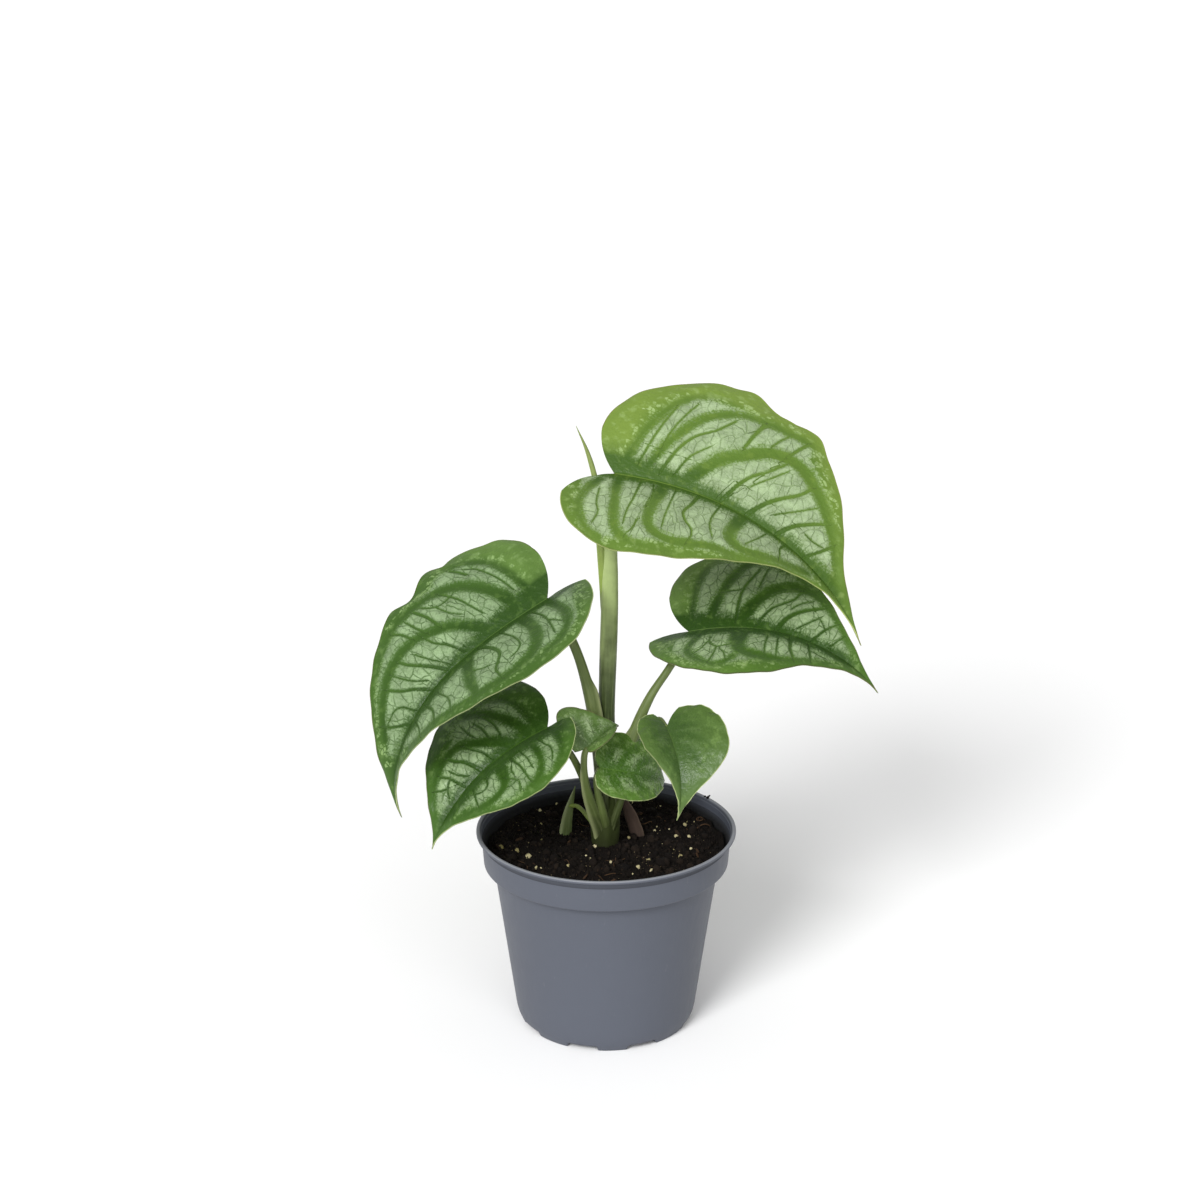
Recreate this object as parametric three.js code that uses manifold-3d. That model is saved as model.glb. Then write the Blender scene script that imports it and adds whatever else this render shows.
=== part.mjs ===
// A young climbing aroid with silver-marked heart-shaped leaves in a plastic nursery pot.
// Units are millimetres, +Z is up, and the origin is the centre of the pot's underside, on the floor.
// The pot's own axis is the Z axis, and the picture of the plant is seen from -Y.
import * as THREE from 'three';
import { mergeVertices } from 'three/addons/utils/BufferGeometryUtils.js';
import Module from 'manifold-3d';

const wasm = await Module();
wasm.setup();

// Gap kept between two pieces that touch on the real plant
const GAP = 0.3;

// Pot: a 12 cm nursery pot, with its radii and heights
const POT = {
  rimRadius: 60,
  height: 95,
  lipDrop: 2.3,
  lipWidth: 2.6,
  bandTop: 57.6,
  bandBottom: 56.6,
  bandLow: 78.7,
  bodyTop: 52.2,
  bodyBottom: 41.9,
  bodyLow: 5,
  floorRadius: 39.3,
  footRadius: 39.6,
  footInner: 33,
  footHeight: 2.4,
  footDraft: 0.7,
  padRadius: 9,
  wall: 1.2,
  edge: 0.7,
  segments: 40,
};

// Notches cut in the pot's foot ring, by the angle of each one's middle seen from the front, and their width
const NOTCH_ANGLES = [-16, 25, 74, 119, 164, 205, 254, 299];
const NOTCH = { width: 13, depth: 14 };
const DRAIN = { radius: 4, ring: 25, count: 8, sides: 12 };

// Soil: the level of its surface, its slope, and the height of its lumps
const SOIL = { level: 85.5, slopeX: 0.022, slopeY: 0.012, lump: 1.1, rings: 9 };

// Stem base: the round foot that all petioles rise from
const STEM = { radius: 6.2, bottom: 76, shoulder: 97, top: 106, hole: 6.6, place: [-0.4, -4.6, 0], sides: 20 };

// Blade: thickness, depth of the midrib below it and how much of that is lost towards the tip, the share
// of the outline whose side veins fan out from the joint, the waves along the margin, how soon the relief
// fades before the tip, and how far behind the joint the lobes may reach as a share of the length
const BLADE = { thickness: 0.7, rib: 1.0, ribTaper: 0.85, fan: 0.36, veins: 6, tipFade: 8, behind: 0.45 };
const MIDRIB_STEPS = 300;

// Leaves: joint is where petiole and blade meet; yaw, pitch and roll turn the blade there, in degrees.
// droop and sweep are the midrib's whole bend down and sideways, and lobeLift bends the lobes.
// Each half gives its width in mm, and as shares of the length: the place of the widest point, the
// reach of the lobe behind the joint and the lobe end's distance from the midrib. fold is the angle
// at which the half leaves the midrib, and arch how far it then bends down. rounding holds the
// four handle lengths of the outline, from the lobe's end to the tip, and tipWidth the tip's width.
const LEAVES = {
  leaf_top: {
    joint: [4, 4, 264.1], yaw: -9.5, pitch: -6, roll: 26,
    droop: 61, droopPower: 1.4, sweep: -27, lobeLift: 3, length: 142.5,
    left: { width: 65, widest: 0.29, lobe: 0.07, notch: 0.15, fold: 27, arch: 35 },
    right: { width: 53, widest: 0.06, lobe: 0.14, notch: 0.16, fold: 21, arch: 33 },
    rounding: [0.33, 0.37, 0.47, 0.49], tipWidth: 0.6, bow: 0.2, quilt: 0.55, wave: 0.9,
  },
  leaf_right: {
    joint: [38.2, 12, 186.7], yaw: -15, pitch: 15, roll: 20,
    droop: 70, droopPower: 1.4, sweep: -18, lobeLift: -9, length: 96.5,
    left: { width: 45, widest: 0.22, lobe: 0.11, notch: 0.21, fold: 23, arch: 20 },
    right: { width: 40, widest: 0.29, lobe: 0.18, notch: 0.08, fold: 21, arch: 25 },
    rounding: [0.43, 0.5, 0.35, 0.39], tipWidth: 1.2, bow: 0.2, quilt: 0.45, wave: 0.7,
  },
  leaf_left: {
    joint: [-26.5, -6, 208.7], yaw: -156, pitch: -25, roll: -6,
    droop: 86, droopPower: 2, sweep: 5, lobeLift: -3, length: 130.5,
    left: { width: 50, widest: 0.17, lobe: 0.14, notch: 0.06, fold: 21, arch: 32 },
    right: { width: 55, widest: 0.23, lobe: 0.08, notch: 0.19, fold: 30, arch: 33 },
    rounding: [0.43, 0.55, 0.44, 0.38], tipWidth: 1.1, bow: 0.2, quilt: 0.55, wave: 0.9,
  },
  leaf_low_left: {
    joint: [-26.5, -24, 153.9], yaw: -158, pitch: -19, roll: -19,
    droop: 52, droopPower: 1.3, sweep: 15, lobeLift: -9, length: 77.5,
    left: { width: 32.5, widest: 0.27, lobe: 0.15, notch: 0.02, fold: 20, arch: 33 },
    right: { width: 40.5, widest: 0.29, lobe: 0.08, notch: 0.21, fold: 22, arch: 40 },
    rounding: [0.49, 0.53, 0.46, 0.32], tipWidth: 1.3, bow: 0.2, quilt: 0.4, wave: 0.6,
  },
  leaf_curled: {
    joint: [-8.1, -25, 145.3], yaw: 29, pitch: 36, roll: 50,
    droop: 76, droopPower: 1.3, sweep: -13, lobeLift: 1, length: 24,
    left: { width: 21, widest: 0.08, lobe: 0.25, notch: 0.1, fold: 11, arch: 14 },
    right: { width: 8, widest: 0.24, lobe: 0.08, notch: 0.14, fold: 60, arch: 20 },
    rounding: [0.44, 0.5, 0.32, 0.5], tipWidth: 0.5, bow: 0.1, quilt: 0.2, wave: 0.2,
  },
  leaf_centre: {
    joint: [-2.7, -18, 132.1], yaw: 11, pitch: -14, roll: 54,
    droop: 56, droopPower: 1.4, sweep: 11, lobeLift: 0, length: 41,
    left: { width: 18, widest: 0.26, lobe: 0.08, notch: 0.11, fold: 15, arch: 22 },
    right: { width: 14, widest: 0.31, lobe: 0.06, notch: 0.1, fold: 16, arch: 13 },
    rounding: [0.6, 0.57, 0.64, 0.19], tipWidth: 0.5, bow: 0.15, quilt: 0.25, wave: 0.3,
  },
  leaf_heart: {
    joint: [27.5, -14, 149.8], yaw: -73, pitch: -19, roll: -4,
    droop: 101, droopPower: 1.5, sweep: -2, lobeLift: 0, length: 48.5,
    left: { width: 25, widest: 0.28, lobe: 0.19, notch: 0.18, fold: 26, arch: -1 },
    right: { width: 16, widest: 0.12, lobe: 0.17, notch: 0.1, fold: 22, arch: 37 },
    rounding: [0.43, 0.48, 0.39, 0.58], tipWidth: 1, bow: 0.15, quilt: 0.3, wave: 0.4,
  },
};

// Mesh density of a blade: rows along the margin and columns from midrib to margin
const LARGE_GRID = { rows: 24, columns: 5 };
const SMALL_GRID = { rows: 14, columns: 4 };
const SMALL_LEAF = 60;

// Petioles: the course of each from the stem base up to its blade, and its radius at even steps of length
const PETIOLES = {
  petiole_top: {
    leaf: 'leaf_top',
    course: [[0.6, -2.6, 98], [0.4, -2.6, 122], [0.2, -2.4, 152], [0.7, -1.6, 172], [1.6, -0.2, 203],
      [1.7, 1.2, 230], [2.2, 3, 252]],
    radii: [4.4, 4.0, 3.8, 4.0, 3.8, 3.8, 3.0, 2.3],
  },
  petiole_left: {
    leaf: 'leaf_left',
    course: [[-1, -8.2, 99], [-1.4, -8.8, 116], [-3.4, -9, 136], [-5.9, -8, 155.5], [-9, -6.9, 170],
      [-13.5, -6, 184.5], [-21.2, -5.6, 201]],
    radii: [2.5, 2.7, 2.8, 2.9, 2.7, 2.3, 2.1, 1.9],
  },
  petiole_right: {
    leaf: 'leaf_right',
    course: [[3.8, -5, 99], [5.4, -5, 112], [9.4, -4.4, 131], [14.5, -2.4, 147.5], [20.6, 0.2, 160.5],
      [28, 4.8, 170.5], [34.6, 9.5, 180]],
    radii: [2.5, 2.5, 2.7, 2.9, 2.3, 1.9, 1.7, 1.6],
  },
  petiole_heart: {
    leaf: 'leaf_heart',
    course: [[3.8, -9.6, 97], [5.8, -9.8, 108], [10, -8.9, 122], [13.1, -5.9, 130.5], [15.7, -1.4, 138.2],
      [18.4, 0.4, 144.4], [24, -3.6, 150]],
    radii: [1.6, 1.6, 1.5, 1.4, 1.4, 1.4, 1.3, 1.3],
  },
  petiole_centre: {
    leaf: 'leaf_centre',
    course: [[0.2, -10.6, 96], [-1.4, -12.6, 106], [-3.6, -15.4, 118], [-4.2, -17.4, 127.5]],
    radii: [1.7, 1.7, 1.6, 1.4],
  },
  petiole_curled: {
    leaf: 'leaf_curled',
    course: [[-2.8, -10, 96], [-5.6, -14.4, 108], [-8.6, -19.6, 122], [-10, -23.6, 136], [-9.4, -25.2, 143]],
    radii: [1.7, 1.7, 1.6, 1.5, 1.3],
  },
  petiole_low_left: {
    leaf: 'leaf_low_left',
    course: [[-4.2, -5.4, 96], [-6, -7.4, 108], [-9.8, -12.4, 123], [-15, -18.4, 137.4], [-21.6, -22.6, 149]],
    radii: [1.7, 1.7, 1.6, 1.5, 1.4],
  },
};
const PETIOLE_SIDES = 8;
const PETIOLE_STEP = 9;

// The rolled new leaf that rises out of the top petiole's sheath
const SPEAR = {
  course: [[-0.9, -2.6, 205], [-1.5, -2.2, 219], [-2.5, -0.6, 234], [-4.2, 4.6, 258], [-7.8, 7.4, 272], [-13.4, 9, 285]],
  radii: [1.3, 1.7, 1.7, 1.5, 1.1, 0.12],
};

// A side shoot's scale leaf with the runner that ties it to the stem base, and a dry old sheath
const SCALE_LEAF = {
  course: [[-19, 13, 78.5], [-18.6, 12.8, 88], [-17.2, 12, 98], [-14.2, 11, 111]],
  radii: [2.5, 2.8, 2.3, 0.15],
  flat: 0.6,
};
const RUNNER = {
  course: [[-17, 11.8, 100.6], [-13.4, 9, 101.6], [-9.6, 4.4, 99.8], [-4.8, -1.6, 96]],
  radii: [0.9, 1.0, 1.1, 1.3],
};
const DRY_SHEATH = {
  course: [[16, 8.6, 78.5], [14.6, 8, 87], [12, 6.4, 96], [7.6, 2.8, 109]],
  radii: [2.5, 2.9, 2.6, 1.0],
  flat: 0.45,
};

// Finishes by kind of piece
const FINISH = {
  pot: { color: 0x656c76, roughness: 0.55, metalness: 0 },
  soil: { color: 0x1c1511, roughness: 0.95, metalness: 0 },
  topLeaf: { color: 0x74a243, roughness: 0.45, metalness: 0 },
  leaf: { color: 0x4a7d33, roughness: 0.45, metalness: 0 },
  petiole: { color: 0x54783a, roughness: 0.5, metalness: 0 },
  stem: { color: 0x3e4f28, roughness: 0.6, metalness: 0 },
  shoot: { color: 0x86a552, roughness: 0.5, metalness: 0 },
  dry: { color: 0x4a3a30, roughness: 0.85, metalness: 0 },
};

const { degToRad } = THREE.MathUtils;

// Turns a closed geometry into a solid that can be joined and cut
function toSolid(geometry) {
  const bare = geometry.clone();
  bare.deleteAttribute('normal');
  bare.deleteAttribute('uv');
  const merged = mergeVertices(bare, 1e-4);
  return new wasm.Manifold(new wasm.Mesh({
    numProp: 3,
    vertProperties: new Float32Array(merged.attributes.position.array),
    triVerts: new Uint32Array(merged.index.array),
  }));
}

// Turns a solid's largest body back into a geometry
function toGeometry(solid) {
  const bodies = solid.decompose();
  bodies.sort((a, b) => b.volume() - a.volume());
  const mesh = bodies[0].getMesh();
  const geometry = new THREE.BufferGeometry();
  geometry.setAttribute('position', new THREE.BufferAttribute(mesh.vertProperties, 3));
  geometry.setIndex(new THREE.BufferAttribute(mesh.triVerts, 1));
  geometry.computeVertexNormals();
  return geometry;
}

function toMesh(name, geometry, finish) {
  const mesh = new THREE.Mesh(geometry, new THREE.MeshStandardMaterial(finish));
  mesh.name = name;
  return mesh;
}

// Closed geometry from points and triangles
function closedGeometry(points, triangles) {
  const geometry = new THREE.BufferGeometry();
  geometry.setAttribute('position', new THREE.Float32BufferAttribute(points.flatMap((p) => [p.x, p.y, p.z]), 3));
  geometry.setIndex(triangles);
  geometry.computeVertexNormals();
  return geometry;
}

// Value at share t of a list that is spread evenly over 0 to 1
function along(values, t) {
  const place = t * (values.length - 1);
  const low = Math.min(Math.floor(place), values.length - 2);
  return THREE.MathUtils.lerp(values[low], values[low + 1], place - low);
}

// Round or flattened stalk carried along a smooth course, with its radius grown by extra
function stalk({ course, radii, flat = 1 }, extra = 0, sides = PETIOLE_SIDES) {
  const curve = new THREE.CatmullRomCurve3(course.map((p) => new THREE.Vector3(...p)), false, 'centripetal');
  const steps = Math.max(6, Math.round(curve.getLength() / PETIOLE_STEP));
  const { normals, binormals } = curve.computeFrenetFrames(steps);
  const points = [];
  for (let i = 0; i <= steps; i += 1) {
    const centre = curve.getPointAt(i / steps);
    const radius = along(radii, i / steps) + extra;
    for (let k = 0; k < sides; k += 1) {
      const angle = (2 * Math.PI * k) / sides;
      points.push(centre.clone()
        .addScaledVector(normals[i], radius * Math.cos(angle))
        .addScaledVector(binormals[i], (radius - extra) * flat * Math.sin(angle) + extra * Math.sin(angle)));
    }
  }
  const triangles = [];
  for (let i = 0; i < steps; i += 1) {
    for (let k = 0; k < sides; k += 1) {
      const a = i * sides + k;
      const b = i * sides + ((k + 1) % sides);
      triangles.push(a, b, b + sides, a, b + sides, a + sides);
    }
  }
  const first = points.push(curve.getPointAt(0).addScaledVector(curve.getTangentAt(0), -extra)) - 1;
  const last = points.push(curve.getPointAt(1).addScaledVector(curve.getTangentAt(1), extra)) - 1;
  for (let k = 0; k < sides; k += 1) {
    const next = (k + 1) % sides;
    triangles.push(first, next, k, last, steps * sides + k, steps * sides + next);
  }
  return closedGeometry(points, triangles);
}

// Half a leaf's outline from the lobe's inner end, over the widest point, to the tip, in the flat blade
function halfOutline(leaf, half) {
  const [h0, h1, h2, h3] = leaf.rounding;
  const reach = leaf.length;
  const start = new THREE.Vector2(-half.lobe * reach, half.notch * reach);
  const widest = new THREE.Vector2(half.widest * reach, half.width);
  const tip = new THREE.Vector2(reach, 0);
  const back = h1 * (half.widest + half.lobe) * reach;
  const front = (1 - half.widest) * reach;
  const outline = new THREE.CurvePath();
  outline.add(new THREE.CubicBezierCurve(
    start,
    new THREE.Vector2(start.x, start.y + h0 * half.width),
    new THREE.Vector2(widest.x - back, widest.y),
    widest,
  ));
  outline.add(new THREE.CubicBezierCurve(
    widest,
    new THREE.Vector2(widest.x + h2 * front, widest.y),
    new THREE.Vector2(tip.x - h3 * front, leaf.tipWidth),
    tip,
  ));
  return outline;
}

// Point at share b of the side vein that ends at share u of the outline.
// Veins up to the fan's share start at the joint, the later ones along the midrib, and all bow.
function veinPoint(leaf, outline, u, b) {
  const end = outline.getPoint(u);
  const startX = leaf.length * THREE.MathUtils.clamp((u - BLADE.fan) / (1 - BLADE.fan), 0, 1);
  const bow = leaf.bow * Math.sqrt(1 - u);
  const dx = end.x - startX;
  const control = new THREE.Vector2(startX + 0.5 * dx - bow * end.y, 0.5 * end.y + bow * dx);
  return new THREE.QuadraticBezierCurve(new THREE.Vector2(startX, 0), control, end).getPoint(b);
}

// The bent midrib: its point and its side and up directions at distance x from the joint
function midribCourse(leaf) {
  const from = -BLADE.behind * leaf.length;
  const step = (leaf.length - from) / MIDRIB_STEPS;
  const frames = [];
  const point = new THREE.Vector3();
  for (let i = 0; i <= MIDRIB_STEPS; i += 1) {
    const x = from + i * step;
    const share = Math.max(x / leaf.length, 0);
    const bend = degToRad(leaf.droop) * share ** leaf.droopPower
      - degToRad(leaf.lobeLift) * Math.max(-x / leaf.length, 0);
    const turn = degToRad(leaf.sweep) * share;
    const direction = new THREE.Vector3(
      Math.cos(bend) * Math.cos(turn), Math.cos(bend) * Math.sin(turn), -Math.sin(bend),
    );
    if (i > 0) {
      point.addScaledVector(direction.clone().add(frames[i - 1].direction), step / 2);
    }
    const side = new THREE.Vector3(-Math.sin(turn), Math.cos(turn), 0);
    frames.push({ x, point: point.clone(), direction, side, up: direction.clone().cross(side) });
  }
  const between = (x, part) => {
    const place = Math.min((x - from) / step, MIDRIB_STEPS - 1e-6);
    const i = Math.floor(place);
    return frames[i][part].clone().lerp(frames[i + 1][part], place - i);
  };
  const joint = between(0, 'point');
  return (x) => ({ point: between(x, 'point').sub(joint), side: between(x, 'side'), up: between(x, 'up') });
}

// Blade in its own frame, with the joint at the origin and the midrib leaving it along +X.
// The middle surface is worked out on a grid of side veins, then thickened alike on both faces,
// with the midrib standing out below.
function blade(leaf, extra = 0) {
  const { rows, columns } = leaf.length < SMALL_LEAF ? SMALL_GRID : LARGE_GRID;
  const midrib = midribCourse(leaf);
  const meanWidth = (leaf.left.width + leaf.right.width) / 2;
  const points = [];
  const ribs = [];
  const ids = new Map();

  // Point of the middle surface at distance x along the midrib and y across it, raised by lift
  const surfacePoint = (half, sign, x, y, lift) => {
    const { point, side, up } = midrib(x);
    const fold = degToRad(half.fold);
    const curl = degToRad(half.arch) / meanWidth;
    const across = (Math.sin(fold) - Math.sin(fold - curl * y)) / curl;
    const rise = (Math.cos(fold - curl * y) - Math.cos(fold)) / curl;
    return point.addScaledVector(side, sign * across).addScaledVector(up, rise + lift);
  };

  // Number of the point with this name, which is made on its first use
  const vertex = (key, make, rib) => {
    if (!ids.has(key)) {
      ids.set(key, points.length);
      points.push(make());
      ribs.push(rib);
    }
    return ids.get(key);
  };

  // The two halves share the points of the midrib and the tip
  const nameOf = (i, j, x, sign) => {
    if (i === rows) {
      return 'tip';
    }
    return j === 0 ? `midrib ${Math.round(x * 1e3)}` : `${sign} ${i} ${j}`;
  };

  const halves = [[leaf.left, 1], [leaf.right, -1]].map(([half, sign]) => {
    const outline = halfOutline(leaf, half);
    return Array.from({ length: rows + 1 }, (_, i) => Array.from({ length: columns + 1 }, (__, j) => {
      const u = i / rows;
      const b = j / columns;
      const flatPoint = veinPoint(leaf, outline, u, b);
      const phase = Math.cos(2 * Math.PI * BLADE.veins * u);
      const fade = Math.min(1, BLADE.tipFade * (1 - u));
      const lift = fade * (leaf.wave * phase * b ** 3 - leaf.quilt * phase * Math.sin(Math.PI * b));
      const rib = j === 0 ? BLADE.rib * (1 - BLADE.ribTaper * flatPoint.x / leaf.length) : 0;
      const name = nameOf(i, j, flatPoint.x, sign);
      return vertex(name, () => surfacePoint(half, sign, flatPoint.x, flatPoint.y, lift), rib);
    }));
  });

  const upper = [];
  halves.forEach((grid, index) => {
    for (let i = 0; i < rows; i += 1) {
      for (let j = 0; j < columns; j += 1) {
        const [a, b, c, d] = [grid[i][j], grid[i + 1][j], grid[i + 1][j + 1], grid[i][j + 1]];
        [[a, b, c], [a, c, d]].forEach(([p, q, r]) => {
          if (p !== q && q !== r && r !== p) {
            upper.push(index === 0 ? [p, q, r] : [p, r, q]);
          }
        });
      }
    }
  });

  const middle = closedGeometry(points, upper.flat());
  const normal = middle.attributes.normal;
  const count = points.length;
  const upperPoints = points.map((p, i) => p.clone()
    .addScaledVector(new THREE.Vector3().fromBufferAttribute(normal, i), BLADE.thickness / 2 + extra));
  const lowerPoints = points.map((p, i) => p.clone()
    .addScaledVector(new THREE.Vector3().fromBufferAttribute(normal, i), -BLADE.thickness / 2 - ribs[i] - extra));

  // Rim of the blade: out along the left lobe's inner edge, round the margin and back along the right lobe
  const [left, right] = halves;
  const rim = [...left[0], ...left.slice(1).map((row) => row[columns]),
    ...right.slice(1, rows).map((row) => row[columns]).reverse(), ...[...right[0]].slice(1).reverse()];
  const triangles = upper.flat();
  upper.forEach(([p, q, r]) => triangles.push(p + count, r + count, q + count));
  rim.forEach((p, i) => {
    const q = rim[(i + 1) % rim.length];
    triangles.push(p, q, q + count, p, q + count, p + count);
  });
  return closedGeometry([...upperPoints, ...lowerPoints], triangles);
}

// Places a blade geometry, or its mesh, at the leaf's joint
function leafTransform(leaf) {
  const turn = new THREE.Euler(degToRad(leaf.roll), -degToRad(leaf.pitch), degToRad(leaf.yaw), 'ZYX');
  return { position: new THREE.Vector3(...leaf.joint), rotation: turn };
}

// Room that a blade takes with the gap all round it, also at the inner edges of its lobes
function bladeRoom(leaf) {
  const { position, rotation } = leafTransform(leaf);
  const matrix = new THREE.Matrix4().makeRotationFromEuler(rotation).setPosition(position);
  return [[-GAP, 0], [0, GAP], [0, -GAP]]
    .map(([x, y]) => toSolid(blade(leaf, GAP).translate(x, y, 0).applyMatrix4(matrix)))
    .reduce((room, next) => room.add(next));
}

// Pot wall, band, lip and base as one turned body, then notched in the foot and drilled for drainage
function potGeometry() {
  const p = POT;
  const floor = p.footHeight + p.wall;
  const lipLow = p.height - p.lipDrop;
  const profile = [
    [0, 0], [p.padRadius, 0], [p.padRadius + p.footDraft, p.footHeight], [p.footInner - p.footDraft, p.footHeight],
    [p.footInner, 0], [p.footRadius, 0], [p.footRadius + p.wall, p.wall], [p.bodyBottom, p.bodyLow],
    [p.bodyTop, p.bandLow], [p.bandBottom, p.bandLow], [p.bandTop, lipLow],
    [p.rimRadius - p.edge, lipLow], [p.rimRadius, lipLow + p.edge],
    [p.rimRadius, p.height - p.edge], [p.rimRadius - p.edge, p.height], [p.rimRadius - p.lipWidth, p.height],
    [p.bandTop - p.wall, p.height - p.edge], [p.bandBottom - p.wall, p.bandLow + p.wall],
    [p.bodyTop - p.wall, p.bandLow + p.wall], [p.bodyBottom - p.wall, floor + p.wall],
    [p.floorRadius, floor], [0, floor],
  ];
  let body = toSolid(new THREE.LatheGeometry(profile.map(([r, z]) => new THREE.Vector2(r, z)), p.segments)
    .rotateX(Math.PI / 2));
  NOTCH_ANGLES.forEach((angle) => {
    const notch = new THREE.BoxGeometry(NOTCH.width, NOTCH.depth, 2 * p.footHeight);
    notch.translate(0, -(p.footInner + p.footRadius + p.wall) / 2, 0).rotateZ(degToRad(angle));
    body = body.subtract(toSolid(notch));
  });
  for (let k = 0; k < DRAIN.count; k += 1) {
    const drain = new THREE.CylinderGeometry(DRAIN.radius, DRAIN.radius, 4 * p.footHeight, DRAIN.sides);
    drain.rotateX(Math.PI / 2).translate(DRAIN.ring, 0, floor).rotateZ((2 * Math.PI * (k + 0.5)) / DRAIN.count);
    body = body.subtract(toSolid(drain));
  }
  return toGeometry(body);
}

// Height of the soil's surface, which is sloped and has low lumps 12 to 40 mm apart, summed from three waves
function soilHeight(x, y) {
  const slope = SOIL.slopeX * x + SOIL.slopeY * y;
  const lumps = Math.sin(0.31 * x + 1.3) * Math.cos(0.27 * y + 0.4)
    + 0.6 * Math.sin(0.17 * x - 0.38 * y + 2.1) + 0.4 * Math.cos(0.53 * x + 0.45 * y);
  return SOIL.level + slope + 0.5 * SOIL.lump * lumps;
}

// Soil fills the pot, with plain holes where the stem base, the side shoot and the dry sheath stand
function soilGeometry(holes) {
  const floor = POT.footHeight + POT.wall + GAP;
  const low = POT.bodyBottom - POT.wall - GAP;
  const step = POT.bandLow + POT.wall + GAP;
  const rimWall = POT.bandBottom - POT.wall - GAP;
  const sides = [
    [0, floor], [POT.floorRadius - GAP, floor], [low, floor + POT.wall], [POT.bodyTop - POT.wall - GAP, step],
    [rimWall, step],
  ];
  const rings = Array.from({ length: SOIL.rings + 1 }, (_, i) => [rimWall * (1 - i / SOIL.rings), SOIL.level]);
  const turned = new THREE.LatheGeometry(
    [...sides, ...rings].map(([r, z]) => new THREE.Vector2(r, z)), POT.segments,
  ).rotateX(Math.PI / 2);
  const place = turned.attributes.position;
  for (let i = 0; i < place.count; i += 1) {
    if (Math.abs(place.getZ(i) - SOIL.level) < 1e-3) {
      place.setZ(i, soilHeight(place.getX(i), place.getY(i)));
    }
  }
  return toGeometry(holes.reduce((body, hole) => body.subtract(hole), toSolid(turned)));
}

// Stem base: a round foot in the soil that closes in a low dome between the petioles
function stemBase() {
  const r = STEM.radius;
  const profile = [
    [0, STEM.bottom], [r, STEM.bottom], [r, STEM.shoulder], [0.9 * r, STEM.shoulder + 4],
    [0.6 * r, STEM.top - 1.5], [0, STEM.top],
  ];
  return new THREE.LatheGeometry(profile.map(([x, z]) => new THREE.Vector2(x, z)), STEM.sides)
    .rotateX(Math.PI / 2).translate(...STEM.place);
}

// Plain round hole that the stem base stands in, reaching up past its top
function stemRoom() {
  const bottom = STEM.bottom - GAP;
  const height = STEM.top + GAP - bottom;
  return toSolid(new THREE.CylinderGeometry(STEM.hole, STEM.hole, height, STEM.sides)
    .rotateX(Math.PI / 2).translate(STEM.place[0], STEM.place[1], bottom + height / 2));
}

const plant = new THREE.Group();
const pottedPlant = new THREE.Group();

// Blades
Object.entries(LEAVES).forEach(([name, leaf]) => {
  const finish = name === 'leaf_top' ? FINISH.topLeaf : FINISH.leaf;
  const mesh = toMesh(name, blade(leaf), finish);
  const { position, rotation } = leafTransform(leaf);
  mesh.position.copy(position);
  mesh.rotation.copy(rotation);
  plant.add(mesh);
});

// Stalks, each cut clear of the blades and of the stalks made before it
const bladeRooms = Object.values(LEAVES).map(bladeRoom);
const spear = toSolid(stalk(SPEAR));
const taken = [toSolid(stalk(SPEAR, GAP))];
const clearOf = (body, rooms) => rooms.reduce((rest, room) => rest.subtract(room), body);
plant.add(toMesh('new_leaf_spear', toGeometry(clearOf(spear, bladeRooms)), FINISH.shoot));
Object.entries(PETIOLES).forEach(([name, petiole]) => {
  const line = { ...petiole, course: [...petiole.course, LEAVES[petiole.leaf].joint] };
  const body = clearOf(toSolid(stalk(line)), [...bladeRooms, ...taken]);
  taken.push(toSolid(stalk(line, GAP)));
  plant.add(toMesh(name, toGeometry(body), FINISH.petiole));
});

const sheath = clearOf(toSolid(stalk(DRY_SHEATH)), [...bladeRooms, ...taken]);
plant.add(toMesh('dry_sheath', toGeometry(sheath), FINISH.dry));
taken.push(toSolid(stalk(DRY_SHEATH, GAP)));
plant.add(toMesh('stem_base', toGeometry(clearOf(toSolid(stemBase()), taken)), FINISH.stem));
const shoot = toSolid(stalk(SCALE_LEAF)).add(toSolid(stalk(RUNNER)));
plant.add(toMesh('side_shoot', toGeometry(clearOf(shoot, [...taken, stemRoom()])), FINISH.shoot));

const holes = [stemRoom(), toSolid(stalk(SCALE_LEAF, GAP)), toSolid(stalk(DRY_SHEATH, GAP))];
pottedPlant.add(toMesh('pot', potGeometry(), FINISH.pot));
pottedPlant.add(toMesh('soil', soilGeometry(holes), FINISH.soil));
pottedPlant.add(plant);

export default pottedPlant;
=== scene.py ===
"""A potted young climbing aroid with silver-marked leaves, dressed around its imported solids.

Tables are in millimetres and meshes in metres. +Z is up and the origin is the centre of the pot's
underside. The picture's camera looks along +Y, so +X is to the right in it.
"""
import logging
from dataclasses import dataclass, field, replace
from enum import Enum

import bpy
import numpy as np
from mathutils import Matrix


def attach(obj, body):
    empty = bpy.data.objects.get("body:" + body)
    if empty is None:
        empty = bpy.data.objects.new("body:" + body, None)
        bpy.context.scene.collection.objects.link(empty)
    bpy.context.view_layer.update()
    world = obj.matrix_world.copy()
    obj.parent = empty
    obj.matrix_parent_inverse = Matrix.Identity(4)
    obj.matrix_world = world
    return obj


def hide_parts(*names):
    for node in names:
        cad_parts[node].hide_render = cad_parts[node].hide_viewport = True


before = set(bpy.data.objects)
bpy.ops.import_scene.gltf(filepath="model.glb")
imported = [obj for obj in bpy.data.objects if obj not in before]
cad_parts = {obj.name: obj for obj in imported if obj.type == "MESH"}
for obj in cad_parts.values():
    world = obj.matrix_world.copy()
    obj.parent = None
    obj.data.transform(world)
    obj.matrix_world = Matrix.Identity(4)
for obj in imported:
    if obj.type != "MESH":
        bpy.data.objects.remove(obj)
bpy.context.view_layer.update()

MM = 0.001
STEM_PLACE = (-0.4, -4.6)
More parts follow.
